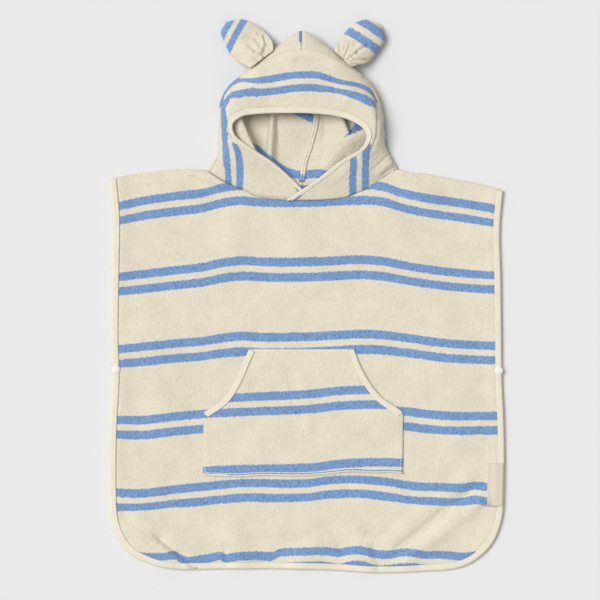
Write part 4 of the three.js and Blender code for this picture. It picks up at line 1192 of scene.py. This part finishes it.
TOP_SIDE = 3.85
UNDER_SIDE = 0.5
FACE_EDGE = 2.2
pocket_left = [(x + 2.6, -y) for y, x in POCKET_EDGE["left"] if y > MOUTH_END]
pocket_right = [(x - 2.6, -y) for y, x in POCKET_EDGE["right"] if y > MOUTH_END]
pocket_top = [(x, POCKET_TOP - 1.6 + 0.4 * (x + 78) / 141) for x in range(-78, 64, 3)]
pocket_foot = [(x, pocket_hem(x) + HEM_IN) for x in range(-141, 132, 3)]
crown_path = [sections[step].at(sections[step].seam + 1.6).xy for step in range(73, 90)]
seam_ways = [[(back_seam(y) + shift, y) for y in range(164, 276, 3)] for shift in (-1.9, 1.9)]
EAR_ROWS = {
    "left": [[(-68, 366), (-68.6, 356)], [(-58.2, 356), (-55.4, 345), (-59.6, 332)]],
    "right": [[(45.6, 329), (52, 321), (59.4, 318)], [(60, 346), (56, 334)]],
}
sew("body_stitches", [along_tape(front_frames, FRONT_STEPS, TOP_SIDE),
                      along_tape(back_frames, BACK_STEPS, UNDER_SIDE)])
sew("pocket_stitches", [*[along_tape(frames, MOUTH_STEPS, TOP_SIDE) for frames in pocket_frames.values()],
                        *[laid(path, pocket_cloth)
                          for path in (pocket_top, pocket_left, pocket_right, pocket_foot)]], 0.62)
sew("hood_stitches", [along_tape(hood_frames, LAST_STEP, TOP_SIDE),
                      along_tape(hood_frames, LAST_STEP, UNDER_SIDE),
                      along_tape(hood_frames, LAST_STEP, TOP_SIDE, FACE_EDGE),
                      laid(crown_path, hood_band),
                      *[laid(way, seam_allowance) for way in seam_ways]], 0.58)
sew("ear_stitches", [laid(path, pad, hood_band)
                     for name, pad in zip(EARS, ears) for path in EAR_ROWS[name]], 0.6)

# Snap fasteners: on each side, a moulded plastic cap with its socket on the front tape, and a stud with its
# cap on the back tape. They are hard and smooth, and hold the two panels together at the sides.
SNAP_WHITE = (0.80, 0.79, 0.75, 1)
SNAP_SHADE = (0.73, 0.72, 0.68, 1)

snap_plastic = two_tone("snap plastic", SNAP_WHITE, SNAP_SHADE, 300, 2, 0.35)
for name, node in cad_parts.items():
    if name.startswith("snap_"):
        node.data.materials.clear()
        node.data.materials.append(snap_plastic)

# Label: a bare loop of woven tape, folded over the right edge near the hem.
# Its ends are sewn down on the front and the back, over the binding.
LABEL_TOP = -232
LABEL_FOOT = -292
LABEL_WALL = 1.0
LABEL_SHADE = (0.60, 0.53, 0.445, 1)
LABEL_PALE = (0.665, 0.595, 0.505, 1)
right_outline = [side_point("right", step / 400, FRONT_SETBACK) for step in range(401)]
LABEL_ENDS = (23, 1.5)
LABEL_ACROSS = [(1.5, 8.2), (6, 8.2), (12.3, 8.2), (17.5, 6.0), (23, 5.8)]
label_height = line_through(LABEL_ACROSS)


def label_place(across, down):
    y = LABEL_TOP + (LABEL_FOOT - LABEL_TOP) * down
    edge = min(right_outline, key=lambda point: abs(point.y - y))
    inward = LABEL_ENDS[0] + (LABEL_ENDS[1] - LABEL_ENDS[0]) * across
    x = edge.x - inward
    return (x, y, label_height(inward) + LABEL_WALL / 2 + rise(x, y)), (x, y), 1


label_tape = cloth_sheet("label_tape", 14, 34, label_place)
thicken(label_tape, LABEL_WALL)
woven_label = two_tone("woven label", LABEL_PALE, LABEL_SHADE, 1800, 2, 0.75)
finish(label_tape, woven_label, "label_tape", "label")
